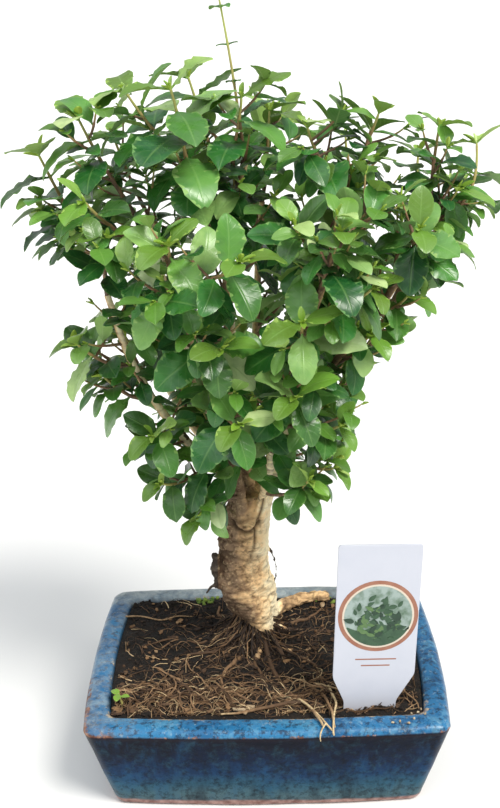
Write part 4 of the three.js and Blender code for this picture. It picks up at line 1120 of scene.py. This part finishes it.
roots = surface_roots()
core = Piece()
rows, shares = smooth_way(trunk_rows[:, :3], 2.5)
widths = np.interp(shares * (len(trunk_rows) - 1), range(len(trunk_rows)), trunk_rows[:, 3])
add_tube(core, rows, widths, 28, shape=lambda i, angles: bark_lump(angles, rows[i][2]))
for limb in limbs:
    places, shares = smooth_way(limb["points"], 3)
    low = places[:, 2] < LIMB_SKIN_TOP
    add_tube(core, places[low], [limb_radius(limb, t) for t in shares[low]], 12)
for start, end, points in SPURS:
    places, shares = smooth_way(points, 1.2)
    add_tube(core, places, blend(start, end, shares), 10)
for start, end, points in roots[:ROOT_COUNT + 1]:
    places, shares = smooth_way(points, 1.5)
    low = shares < (1 if start > THICK_ROOT else 0.45)
    add_tube(core, places[low], blend(start, end, shares)[low], 10)
trunk = apply(core.build("trunk_bark", []), "REMESH", mode="VOXEL", voxel_size=TRUNK_VOXEL * MM, adaptivity=0)
co = relax(trunk.data, 3) / MM
normals = np.zeros(len(co) * 3)
trunk.data.vertex_normals.foreach_get("vector", normals)
axis, girth = [np.interp(co[:, 2], trunk_rows[:, 2], trunk_rows[:, column]) for column in (0, 3)]
side = (co[:, 0] - axis) / girth
beyond = np.clip((side - 1.2) / 0.4, 0, 1) * (co[:, 2] < 64)
side = side * (1 - beyond) - 0.2 * beyond
# The spurs are marked beyond the trunk's left, which makes them grey
for (start, end, points), reach in zip(SPURS, (5.0, 2.2, 2.4)):
    away = norm(co[:, None] - smooth_way(points, 1.2)[0][None], axis=2).min(axis=1)
    side[(away < reach) & (np.abs(side) > 1.02) & (co[:, 1] < 9)] = -1.6


def bell(value, middle, width):
    return exp(-(((value - middle) / width) ** 2))


def bark_form(x, y, z):
    """How far the bark stands out at a place, and its mark: 1 for painted shade deep in cracks, creases and
    grooves, -1 bare smooth wood.
    """
    flake = noise.voronoi((x / 6.5, y / 6.5, z / 3.4))[0]
    fine_flake = noise.voronoi((x / 3.0 + 9, y / 3.0, z / 1.7))[0]
    crack = max(0.0, 1 - (flake[1] - flake[0]) * 6)
    fine_crack = max(0.0, 1 - (fine_flake[1] - fine_flake[0]) * 5)
    rough = noise.fractal((x / 7, y / 7, z / 5), 0.6, 2.1, 4)
    fine = noise.noise((x / 1.2, y / 1.2, z / 0.9))
    wave = noise.noise((x / 9, y / 9, z / 30 + 7))
    move = 0.6 * rough + 0.2 * fine - 0.4 * crack - 0.18 * fine_crack + 0.6 * wave
    move *= 1.0 if z < 122 else 0.4
    # Painted shade in the cracks between bark flakes
    shade_and_bare = 0.55 * crack * (rough < 0.2) + 0.3 * fine_crack * (rough < 0.0)
    if y < 12 and 84 < z < 122:
        # The crease, the bare strip to the right of it and the smooth oval above, with painted shade in the
        # crease and below the oval's lip
        seam_x = -3.8 + (z - 102) * 0.2 + 0.35 * sin(z / 3)
        oval = hypot((x + 7.6) / 5.2, (z - 114.6) / 6.8)
        seam = bell(x, seam_x, 0.8) * min(1, max(0, (z - 94) / 6))
        lip = bell(oval, 1.12, 0.12) * (z < 113)
        under_lip_shade = bell(oval, 1.42, 0.16) * (z < 110)
        if oval < 1:
            move = 0.12 * rough - 0.5 * (1 - oval)
            shade_and_bare = -0.75
        if x > seam_x + 0.5 and z > 93 + 3 * fine:
            move = 0.35 * move
            shade_and_bare = -1.0 if rough > -0.3 else 0.0
        move += 1.0 * lip - 1.1 * under_lip_shade - 1.5 * seam
        shade_and_bare = max(shade_and_bare, 0.9 * seam, 0.95 * under_lip_shade)
    # Grooves round the trunk, with painted shade in them
    for level, tilt, deep in ((101, 0.28, 0.5), (91.5, -0.12, 0.45), (83.5, 0.15, 0.4), (72, 0.1, 0.35)):
        if x < -3 or z < 90:
            ring = bell(z, level + tilt * (x + 9) + 0.8 * rough, 0.8)
            move -= 0.9 * deep * ring
            shade_and_bare = max(shade_and_bare, deep * ring * 1.2)
    return move, shade_and_bare


moves, crevice_shade_and_bare = np.array([bark_form(*place) for place in co]).T
co = co + normals.reshape(-1, 3) * moves[:, None]
trunk.data.vertices.foreach_set("co", (co * MM).astype(np.float32).ravel())
trunk.data.update()
set_marks(trunk.data, np.stack([co[:, 2], side, crevice_shade_and_bare], -1))
trunk.data.materials.clear()
trunk.data.materials.append(BARK)
trunk.data.polygons.foreach_set("use_smooth", [True] * len(trunk.data.polygons))
finish_piece(trunk, "bark", "trunk")

limb_piece = Piece()
for index, limb in enumerate(limbs):
    places, shares = smooth_way(limb["points"], 2.2)
    high = places[:, 2] > LIMB_TUBE_FOOT
    sizes = np.array([limb_radius(limb, t) for t in shares])[high]
    add_tube(limb_piece, places[high], sizes, 12, tone=0.1, shape=knotty(index, 0.16))
finish_piece(limb_piece.build("limbs", [BARK]), "bark")

root_piece = Piece()
for index, (start, end, points) in enumerate(roots):
    if start > THICK_ROOT:
        continue
    by_rule = index < ROOT_COUNT
    places, shares = smooth_way(points, 1.5)
    wander = np.array([
        [noise.noise((x / 5, y / 5, index + shift)) * 1.1 for shift in (9.5, 0)] + [0] for x, y, _ in places
    ])
    places = places + wander * (1 if by_rule else 0.3)
    tone = 0.35 + 0.4 * ((index * 37) % 10) / 10 if by_rule else 0.35 + 0.6 * shares
    radii = blend(start, end * 0.7, shares) * 0.9
    add_tube(root_piece, places, radii, 8, tone=tone, shape=knotty(index + 20, 0.25))
finish_piece(root_piece.build("surface_roots", [ROOT]), "bark")


# Soil
def pot_ring(height, inset, corner, corner_steps, side_steps):
    """A rectangle with rounded corners and slightly bowed sides."""
    half_x, half_y = POT_LENGTH / 2 - inset, POT_DEPTH / 2 - inset
    ring = []
    for k in range(4):
        sign_x, sign_y = (1 if k in (0, 3) else -1), (1 if k < 2 else -1)
        for j in range(corner_steps + 1):
            angle = (k + j / corner_steps) * pi / 2
            x = sign_x * (half_x - corner) + corner * cos(angle)
            y = sign_y * (half_y - corner) + corner * sin(angle)
            ring.append((x, y, height))
        for j in range(1, side_steps):
            share = 1 - 2 * j / side_steps
            bow = POT_BOW * (1 - share * share)
            if k % 2 == 0:
                ring.append((sign_x * (half_x - corner) * share, y + sign_y * bow, height))
            else:
                ring.append((x + sign_x * bow, sign_y * (half_y - corner) * share, height))
    return np.array(ring)


def inside_inset(z):
    return INSIDE_INSET + (z - INSIDE_LOW) / (INSIDE_HIGH - INSIDE_LOW) * (RIM_WIDTH - INSIDE_INSET)


def soil_relief(x, y):
    return 1.25 * noise.fractal((x / 7, y / 7, 3.3), 0.7, 2.1, 4) + 0.5 * noise.noise((x / 1.7, y / 1.7, 8.1))


def soil_ring(height, inset, corner=4.6):
    return pot_ring(height, inset, corner, 12, 60)


soil_piece = Piece()
shoulder = SOIL_LEVEL - 1.4
edge = soil_ring(0, inside_inset(SOIL_LEVEL) + 0.35)
rings = [soil_ring(FLOOR_TOP + GAP, 18.8, 5), soil_ring(8.9, inside_inset(8.9) + 0.5, 6)]
rings.append(soil_ring(shoulder, inside_inset(shoulder) + 0.35))
for share in np.linspace(1, 0.02, 52):
    x, y = TRUNK_X + (edge[:, 0] - TRUNK_X) * share, TRUNK_Y + (edge[:, 1] - TRUNK_Y) * share
    fade = min(1, (1 - share) / 0.04)
    z = soil_height(x, y) * fade + (SOIL_LEVEL - 0.6) * (1 - fade)
    z = z + np.array([soil_relief(a, b) for a, b in zip(x, y)]) * (0.3 + 0.7 * fade)
    rings.append(np.stack([x, y, z], -1))
soil_piece.add_rings(rings)
finish_piece(soil_piece.build("soil_surface", [PEAT]), "peat_soil", "soil")


def ground(x, y):
    """Height of the dressed soil."""
    return float(soil_height(x, y)) + soil_relief(x, y)


def on_ground(x, y, lift):
    return np.array([x, y, ground(x, y) + lift])


def inside_pot(x, y, margin):
    return abs(x) < POT_LENGTH / 2 - 11 - margin and abs(y) < POT_DEPTH / 2 - 11 - margin


def from_trunk(x, y):
    return hypot(x - TRUNK_X, y - TRUNK_Y)


ball = bmesh.new()
bmesh.ops.create_icosphere(ball, subdivisions=2, radius=1)
BALL_POINTS = np.array([v.co[:] for v in ball.verts])
BALL_FACES = np.array([[v.index for v in f.verts] for f in ball.faces])
ball.free()


def add_lump(place, size, tone):
    shift = draw(0, 50)
    scale = np.array([size * draw(0.8, 1.3), size * draw(0.7, 1.1), size * draw(0.55, 0.9)])
    bulge = np.array([1 + 0.45 * noise.noise((x * 1.4 + shift, y * 1.4, z * 1.4)) for x, y, z in BALL_POINTS])
    turn = np.array(Matrix.Rotation(draw(0, 6.28), 3, Vector((draw(-1, 1), draw(-1, 1), draw(-1, 1)))))
    crumbs.add((BALL_POINTS * bulge[:, None] * scale) @ turn.T + place, [BALL_FACES], 0, (0, 0, tone))


def add_flake(place, size, tone):
    """A thin chip of bark or dry leaf, lying at a slant."""
    angles = np.arange(7) / 7 * 2 * pi
    reach = size * np.array([draw(0.6, 1.15) for _ in angles])
    flat = np.stack([reach * np.cos(angles) * 1.5, reach * np.sin(angles) * 0.8, np.zeros(7)], -1)
    half = np.array([0, 0, 0.09 + 0.08 * size])
    turn = np.array(Matrix.Rotation(draw(0, 6.28), 3, "Z") @ Matrix.Rotation(draw(-0.5, 0.5), 3, "X"))
    crumbs.add_rings([(flat + side) @ turn.T + place for side in (half, -half)], 0, (0, 0, tone), inward=True)


crumbs = Piece()
draw = make_draw(1234)
for j in range(900):
    x, y = draw(-66, 66), draw(-48, 48)
    if inside_pot(x, y, 0) and from_trunk(x, y) >= 8:
        size = draw(0.3, 1.0) * (1.25 if draw(0, 1) < 0.15 else 1)
        tone = draw(0, 0.5) if draw(0, 1) < 0.86 else draw(0.55, 0.82)
        add_lump(on_ground(x, y, 0.25 * size), size, tone)
for j in range(230):
    x, y = draw(-66, 66), draw(-48, 30) if draw(0, 1) < 0.75 else draw(-48, 48)
    if inside_pot(x, y, 0.5) and from_trunk(x, y) > 12:
        add_flake(on_ground(x, y, 0.7), draw(0.5, 1.4), draw(0.4, 0.88))
# Paler chips at the front, the dry leaf bits by the seedling
for x, y, size, tone in (
    (-12, -45, 2.3, 0.93), (-7, -43, 1.9, 0.9), (-9, -47, 1.5, 0.88), (-16, -43.5, 1.6, 0.82),
    (-33, -44, 1.7, 0.85), (-37, -40, 1.5, 0.8), (-62, -43.5, 2.0, 0.8), (-58, -43, 1.9, 0.76),
    (-56, -45, 1.6, 0.72), (-64, -41, 1.5, 0.82), (28, 41, 1.8, 0.9), (33, 39, 1.5, 0.8), (40, 40, 1.4, 0.75),
):
    add_flake(on_ground(x, y, 1.0), size, tone)
# Small stones on the rim
for x, y in (
    (52, -55.4), (55, -54.6), (58.5, -55.8), (61, -53), (63.2, -48.5), (64.7, -46.5), (60.4, -49.4), (66, -50),
):
    add_lump(np.array([x, y, 45.75]), draw(0.45, 0.85), draw(0.9, 1))
# Moss along the back
moss_start = len(crumbs.ages)
for j in range(46):
    x = draw(-34, -22) if draw(0, 1) < 0.4 else draw(10, 34)
    y = draw(42.5, 48.5)
    if abs(x - TRUNK_X) >= 5 or j % 3 == 0:
        add_lump(np.array([x, y, ground(x, min(y, 47.5)) + 0.5]), draw(0.5, 1.3), 0.4)
crumbs.ages[moss_start:] = [np.ones(len(ages)) for ages in crumbs.ages[moss_start:]]
finish_piece(crumbs.build("soil_crumbs", [CRUMB]), "peat_soil")

FIBRE_STEP = 1.8


def lay_fibre(start, heading, length, radius, tone, lift, curl, first=None):
    """A root that wanders over the soil; lift is how far it arches up, first the height it starts at."""
    x, y = start
    turn = draw(-curl, curl)
    points = []
    steps = max(4, int(length / FIBRE_STEP))
    for share in np.arange(steps + 1) / steps:
        z = ground(x, y) + radius * 0.6 + lift * sin(pi * min(1, share * 1.05))
        if first is not None:
            z = max(z, ground(x, y) + (first - ground(*start)) * (1 - share) ** 2.2)
        points.append((x, y, z))
        turn = 0.75 * turn + draw(-curl, curl) * 0.6
        heading += turn
        ahead = (x + FIBRE_STEP * cos(heading), y + FIBRE_STEP * sin(heading))
        if inside_pot(*ahead, -0.4):
            x, y = ahead
        else:
            heading += pi * 0.6
            turn = 0
    points = np.array(points)
    points = points[np.concatenate([[True], norm(np.diff(points[:, :2], axis=0), axis=1) > 0.4])]
    if len(points) >= 3:
        places, shares = smooth_way(points, FIBRE_STEP * 0.8)
        add_tube(hairs, places, radius * (1 - 0.55 * shares), 3, tone=tone)


hairs = Piece()
draw = make_draw(4321)
# A steep skirt of roots round the trunk's foot, thickest on its left and in front
for j in range(340):
    angle = draw(-3.5, -0.9) if draw(0, 1) < 0.78 else draw(0, 2 * pi)
    left = max(0.0, -cos(angle))
    begin = draw(5.2, 10.5)
    start = (TRUNK_X + begin * cos(angle), TRUNK_Y + begin * sin(angle))
    height = SOIL_LEVEL + draw(4, 10) + 10 * left * draw(0.1, 1)
    tone = draw(0.0, 1.0) ** 2.6
    heading = angle + draw(-0.75, 0.75)
    lay_fibre(start, heading, draw(9, 30), draw(0.14, 0.5), tone, draw(0, 1.2), 0.42, height)
# Short curly fibres all over
for j in range(1250):
    x, y = draw(-66, 66), draw(-48, 47)
    near = max(exp(-((y + 36) / 30) ** 2), 0.75 * (x > 14))
    if inside_pot(x, y, 0) and from_trunk(x, y) >= 8 and draw(0, 1) <= 0.35 + 0.65 * near:
        tone = draw(0.1, 1.0) ** (1.6 - 0.6 * near)
        lay_fibre((x, y), draw(0, 6.28), draw(5, 17), draw(0.12, 0.3), tone, draw(0, 1.7), 0.5)
# Fine pale curls before the trunk, longer ones along the front rim, and loops in the front left corner:
# ranges of place, of length, radius, tone and lift, and the curl
for count, across, deep, ranges, curl in (
    (260, (-60, 36), (-48, -24), ((5, 13), (0.12, 0.24), (0.6, 1.0), (0.3, 2.2)), 0.6),
    (85, (-58, 40), (-47.5, -22), ((14, 34), (0.22, 0.52), (0.35, 0.88), (0.2, 1.6)), 0.2),
    (46, (-62, -14), (-46, -26), ((10, 22), (0.3, 0.6), (0.35, 0.85), (0.8, 2.6)), 0.75),
):
    for j in range(count):
        place = (draw(*across), draw(*deep))
        straight = curl < 0.5
        heading = (0 if draw(0, 1) < 0.5 else pi) + draw(-0.5, 0.5) if straight else draw(0, 6.28)
        lay_fibre(place, heading, *[draw(*ends) for ends in ranges], curl)
# Single pale roots: along the back, and three that hang over the front rim
for radius, tone, points in (
    (0.45, 0.85, [(-68, 33, 44.5), (-60, 31, 45.6), (-50, 28.5, 45), (-42, 30.5, 45.8), (-34, 31, 44.8)]),
    (0.35, 0.7, [(-48, 4, 45), (-42, 9, 46), (-36, 8, 45.4), (-30, 10, 45)]),
    (0.6, 1.0, [(13, -36, 44.6), (17.5, -44.3, 46.8), (22.5, -53, 46.9), (26.6, -60.6, 46.2)]),
    (0.42, 1.0, [(24.5, -56.6, 46.8), (22.6, -60, 46.2), (21.8, -61.6, 44), (22, -61.2, 41.4)]),
    (0.6, 1.0, [(27, -28, 45), (28.2, -36, 46.6), (29.4, -43, 46.8), (28.2, -50, 46.9), (27.2, -60.4, 46.4),
                (27.4, -61.6, 44.4)]),
    (0.4, 0.85, [(42, -22, 45.2), (48, -27, 46), (52, -34, 45.4)]),
    (0.42, 0.8, [(58, -30, 45), (60, -36, 46.2), (63.5, -41, 45.6), (64, -45, 45)]),
    (0.5, 0.9, [(21, -26, 45), (26, -30, 46.2), (31, -32, 46), (35, -38, 45.4)]),
):
    places, shares = smooth_way(points, 1.2)
    add_tube(hairs, places, radius * (1 - 0.4 * shares), 6, tone=tone, shape=knotty(int(points[0][0]), 0.2))
finish_piece(hairs.build("hair_roots", [ROOT]), "bark")


# Pot: height, inset and corner radius of the outer wall at its foot and top
WALL_FOOT, WALL_TOP = np.array([1.8, 9.9, 5.2]), np.array([41.3, 0.24, 5.6])
# The last row of the profile that is seen from outside
LAST_OUTER_ROW = 33


def pot_profile():
    """Rows of height, inset, corner radius, outer wear, rim share, inner wear, up outside and down inside."""
    rows = [(0, 11.9, 5, 0, 0, 0), (0.25, 11.0, 5, 0, 0, 0), (1.1, 10.25, 5.2, 0, 0, 0)]
    rows += [(*blend(WALL_FOOT, WALL_TOP, share), 0, 0, 0) for share in np.linspace(0, 1, 18)]
    rows += [
        (41.8, 0.08, 5.6, 0.3, 0, 0), (42.3, 0, 5.6, 0.5, 0.35, 0), (42.9, 0.12, 5.5, 0.42, 1, 0),
        (43.6, 0.42, 5.5, 0.2, 1, 0), (44.4, 1.1, 5.4, 0.1, 1, 0), (45.0, 1.95, 5.3, 0.05, 1, 0),
        (45.35, 3, 5.2, 0, 1, 0), (45.5, 4.4, 5.1, 0, 1, 0), (45.5, 6, 5, 0, 1, 0.05),
        (45.42, 7.6, 4.9, 0, 1, 0.25), (45.15, 8.8, 4.8, 0, 1, 0.6), (44.6, 9.7, 4.7, 0, 0.8, 0.7),
        (43.8, 10.15, 4.6, 0, 0.5, 0.5),
    ]
    for share in np.linspace(0.06, 1, 8):
        rows.append((43.8 - 35.2 * share, 10.15 + 6.75 * share, 4.6 + 1.4 * share, 0, 0.2, 0.1))
    return rows + [(7.6, 17.7, 5.5, 0, 0, 0), (7, 18.5, 5, 0, 0, 0)]


profile = pot_profile()
rings, marks, ages = [], [], []
for row, (z, inset, corner, wear, rim, inner) in enumerate(profile):
    inside = row > LAST_OUTER_ROW
    ring = pot_ring(z, inset, corner, 10, 44)
    shift = [0.32 * noise.noise(p / 24) + 0.1 * noise.noise(p / 6) for p in ring]
    ring = ring + unit(ring * [1, 1, 0]) * (np.array(shift) * (0.2 if inside else 1))[:, None]
    if z > 44.5 and not inside:
        ring[:, 2] += [0.22 * noise.noise((x / 16, y / 16, 1)) for x, y, _ in ring]
    rings.append(ring)
    x, y = ring[:, 0], ring[:, 1]
    back = np.clip((y - 42) / 10, 0, 1) * (z > 40) * 0.85
    left_edge = 0.45 * np.clip((-x - 60) / 12, 0, 1) * (y < -18) * (40 < z < 45.2) * (not inside)
    marks.append(np.stack([wear + left_edge, np.full(len(ring), rim), back], -1))
    ages.append(inner * np.where(y < -40, 1.0, 0.55))
shine = [int(low[4] + high[4] > 1) for low, high in zip(profile[:-1], profile[1:])]
pot_piece, drains = Piece(), Piece()
pot_piece.add_rings(rings, [*np.repeat(shine, len(rings[0])), 0, 0], np.vstack(marks), np.concatenate(ages))
for x in (-DRAIN_OFFSET, DRAIN_OFFSET):
    add_tube(drains, [(x, 0, -2), (x, 0, FLOOR_TOP + 2)], [DRAIN_RADIUS] * 2, 40)
cutter = drains.build("drain_cutter", GLAZES[:1])
pot = pot_piece.build("pot_glazed", GLAZES, sharp=50)
finish_piece(apply(pot, "BOOLEAN", operation="DIFFERENCE", object=cutter, solver="EXACT"), "blue_glaze", "pot")
bpy.data.objects.remove(cutter)


# Plant label
def rounded(outline, radius, steps):
    """The outline with its corners rounded."""
    points = []
    for i, corner in enumerate(outline):
        here, before, after = Vector(corner), Vector(outline[i - 1]), Vector(outline[(i + 1) % len(outline)])
        cut = min(radius, (before - here).length / 3, (after - here).length / 3)
        a, b = here + (before - here).normalized() * cut, here + (after - here).normalized() * cut
        for t in [j / steps for j in range(steps + 1)]:
            points.append((a * (1 - t) ** 2 + here * 2 * t * (1 - t) + b * t * t)[:])
    return points


def label_place(x, y, z):
    """From the label's own frame (x across, y out of its back, z up) to the object's."""
    c, s = cos(LABEL_ROLL), sin(LABEL_ROLL)
    x, z = c * x + s * z, -s * x + c * z
    c, s = cos(LABEL_TURN), sin(LABEL_TURN)
    return np.stack([c * x - s * y, s * x + c * y, z], -1) + LABEL_PLACE


def plate(outline, front, back, bevel, slot):
    """A flat closed plate with a small bevel round both faces."""
    outline = np.array(outline)
    way = np.roll(outline, -1, axis=0) - np.roll(outline, 1, axis=0)
    small = outline + unit(np.stack([-way[:, 1], way[:, 0]], -1)) * bevel
    levels = [(small, front), (outline, front + bevel), (outline, back - bevel), (small, back)]
    label.add_rings([label_place(o[:, 0], np.full(len(o), y), o[:, 1]) for o, y in levels], slot, inward=True)


def disc(reach):
    angles = np.arange(48) / 48 * 2 * pi
    return [(DISC_X + reach * cos(a), DISC_Z + reach * sin(a)) for a in angles]


def spray_leaf(x, z, length, broad, lean):
    """Outline of a leaf that starts at x, z and leans from upright."""
    points = []
    for share, side in [(t, 1) for t in np.linspace(0, 1, 10)] + [(t, -1) for t in np.linspace(0.9, 0.1, 9)]:
        across = -side * broad * sin(pi * share**0.8) * length
        along = share * length
        points.append((x + along * sin(lean) + across * cos(lean), z + along * cos(lean) - across * sin(lean)))
    return points


# A framed disc with a spray of leaves over a low hill, and two thin rules below
label = Piece()
half = LABEL_THICKNESS / 2
DISC_X, DISC_Z, DISC_REACH = 0.4, 66.8, 16.5
plate(rounded(LABEL_OUTLINE, 1.5, 5), -half, half, 0.12, 0)
level = -half
for narrower, slot in ((0, 1), (1.7, 4), (2.5, 2)):
    level -= 0.05
    plate(disc(DISC_REACH - narrower), level, level + 0.2, 0.02, slot)
hill = [(DISC_X + 13.9 * cos(a), DISC_Z + 13.9 * sin(a)) for a in np.linspace(-2.75, -0.35, 24)]
hill += [(DISC_X + x, DISC_Z - 5.2 + 1.4 * sin(0.35 * x + 1)) for x in np.linspace(12.8, -12.6, 16)]
plate(hill, level - 0.04, level + 0.1, 0.02, 3)
draw = make_draw(88)
for j in range(150):
    angle, reach = draw(0, 6.28), 11.2 * sqrt(draw(0, 1))
    x, z = reach * cos(angle), reach * sin(angle)
    if z <= 3 + 4 * cos(x * 0.28) or j % 4 == 0:
        length = draw(2.2, 4.6)
        outline = spray_leaf(DISC_X + x * 0.92, DISC_Z + z * 0.86 - 1.5, length, 0.24, draw(-1.9, 1.9))
        plate(outline, level - 0.05 - 0.002 * j, level + 0.1, 0.005, (3, 5, 3, 6)[j % 4])
for z, reach in ((46.5, 8.5), (43.5, 6.0)):
    bar = [(DISC_X + x * reach, z + y) for x, y in ((-1, -0.3), (1, -0.3), (1, 0.3), (-1, 0.3))]
    plate(bar, -half - 0.05, -half + 0.1, 0.01, 1)
LABEL_COLOURS = [plain("label_" + name, *look) for name, *look in (
    ("white", "c2c5d0", 0.45, "bcc0cc", 120, 0.5), ("copper", "93604b", 0.4, "a67862", 200, 0.6),
    ("sky", "97a7a2", 0.45, "476449", 260, 0.9), ("leaf", "37563c", 0.45, "26452f", 420, 0.9),
    ("cream", "d2c5b4", 0.45), ("light_leaf", "5b7848", 0.45, "3d653c", 420, 0.7),
    ("dark_leaf", "223f2c", 0.45, "1a3023", 420, 0.7),
)]
finish_piece(label.build("label_plate", LABEL_COLOURS, sharp=25), "label_plastic", "plant_label")

# Seedling
seedling = Piece()
x, y = SEEDLING_PLACE
foot = float(soil_height(x, y))
joints = np.array([x, y, foot]) + [(0, 0, -3), (0, 0, 1), (-0.5, 0, 3.8), (-1.2, -0.3, 6.8)]
places, shares = smooth_way(joints, 0.8)
add_tube(seedling, places, 0.62 - 0.25 * shares, 7, 2, age=0.9)
draw = make_draw(31)
for j in range(3):
    looks = {"broad": 0.6, "arch": 0.2, "fold": 0.2, "wave": 0.02, "phase": j, "young": 0.85, "tilt": UP * 0.5}
    base, length = chain_point(joints, 0.8 + 0.08 * j), 5.2 * draw(0.85, 1.15)
    add_leaf(seedling, shape_leaf(base, UP, j * 2.3, 1.05, length, looks), 0.5)
finish_piece(seedling.build("seedling_weed", LEAF_MATERIALS), "weed_green", "seedling")

# Floor, light and camera
floor_mesh = bpy.data.meshes.new("floor")
floor_mesh.from_pydata([(-60, -60, 0), (60, -60, 0), (60, 60, 0), (-60, 60, 0)], [], [(0, 1, 2, 3)])
floor = add_object("floor", floor_mesh)
floor.location.z = -0.0002
floor_look = Surface("floor_white", 0.9)
floor_look.inputs["Base Color"].default_value = (0.84, 0.84, 0.84, 1)
floor_mesh.materials.append(floor_look.material)


def sun(name, place, angle, strength, colour):
    """A far soft light, shining from a place towards the plant."""
    data = bpy.data.lights.new(name, "SUN")
    data.angle, data.energy, data.color = radians(angle), strength, colour
    add_object(name, data).rotation_euler = (-Vector(place)).to_track_quat("-Z", "Y").to_euler()


sun("key", (0.6, -0.55, 1.0), 25, 3.15, (1.0, 0.97, 0.9))
sun("overhead", (-0.25, -0.35, 1.0), 75, 1.2, (0.95, 0.98, 1.0))
scene = bpy.context.scene
scene.world = bpy.data.worlds.new("studio")
scene.world.use_nodes = True
backdrop = scene.world.node_tree.nodes["Background"].inputs
backdrop[0].default_value, backdrop[1].default_value = (0.96, 0.98, 1, 1), 0.5
scene.view_settings.view_transform = "Standard"

FOCAL_PIXELS, PICTURE_HEIGHT, SENSOR = 1142, 808, 36
pitch, yaw, roll = radians(20.55), radians(0.91), radians(-1.36)
camera_data = bpy.data.cameras.new("camera")
camera_data.sensor_width = SENSOR
camera_data.lens = FOCAL_PIXELS * SENSOR / PICTURE_HEIGHT
scene.camera = add_object("camera", camera_data)
right = Vector((cos(yaw), sin(yaw), 0))
ahead = Vector((-sin(yaw) * cos(pitch), cos(yaw) * cos(pitch), -sin(pitch)))
upward = Vector((-sin(yaw) * sin(pitch), cos(yaw) * sin(pitch), cos(pitch)))
image_x = cos(roll) * right + sin(roll) * upward
image_y = -sin(roll) * right + cos(roll) * upward
turn = Matrix((image_x, image_y, -ahead)).transposed()
scene.camera.matrix_world = Matrix.Translation(Vector(EYE) * MM) @ turn.to_4x4()
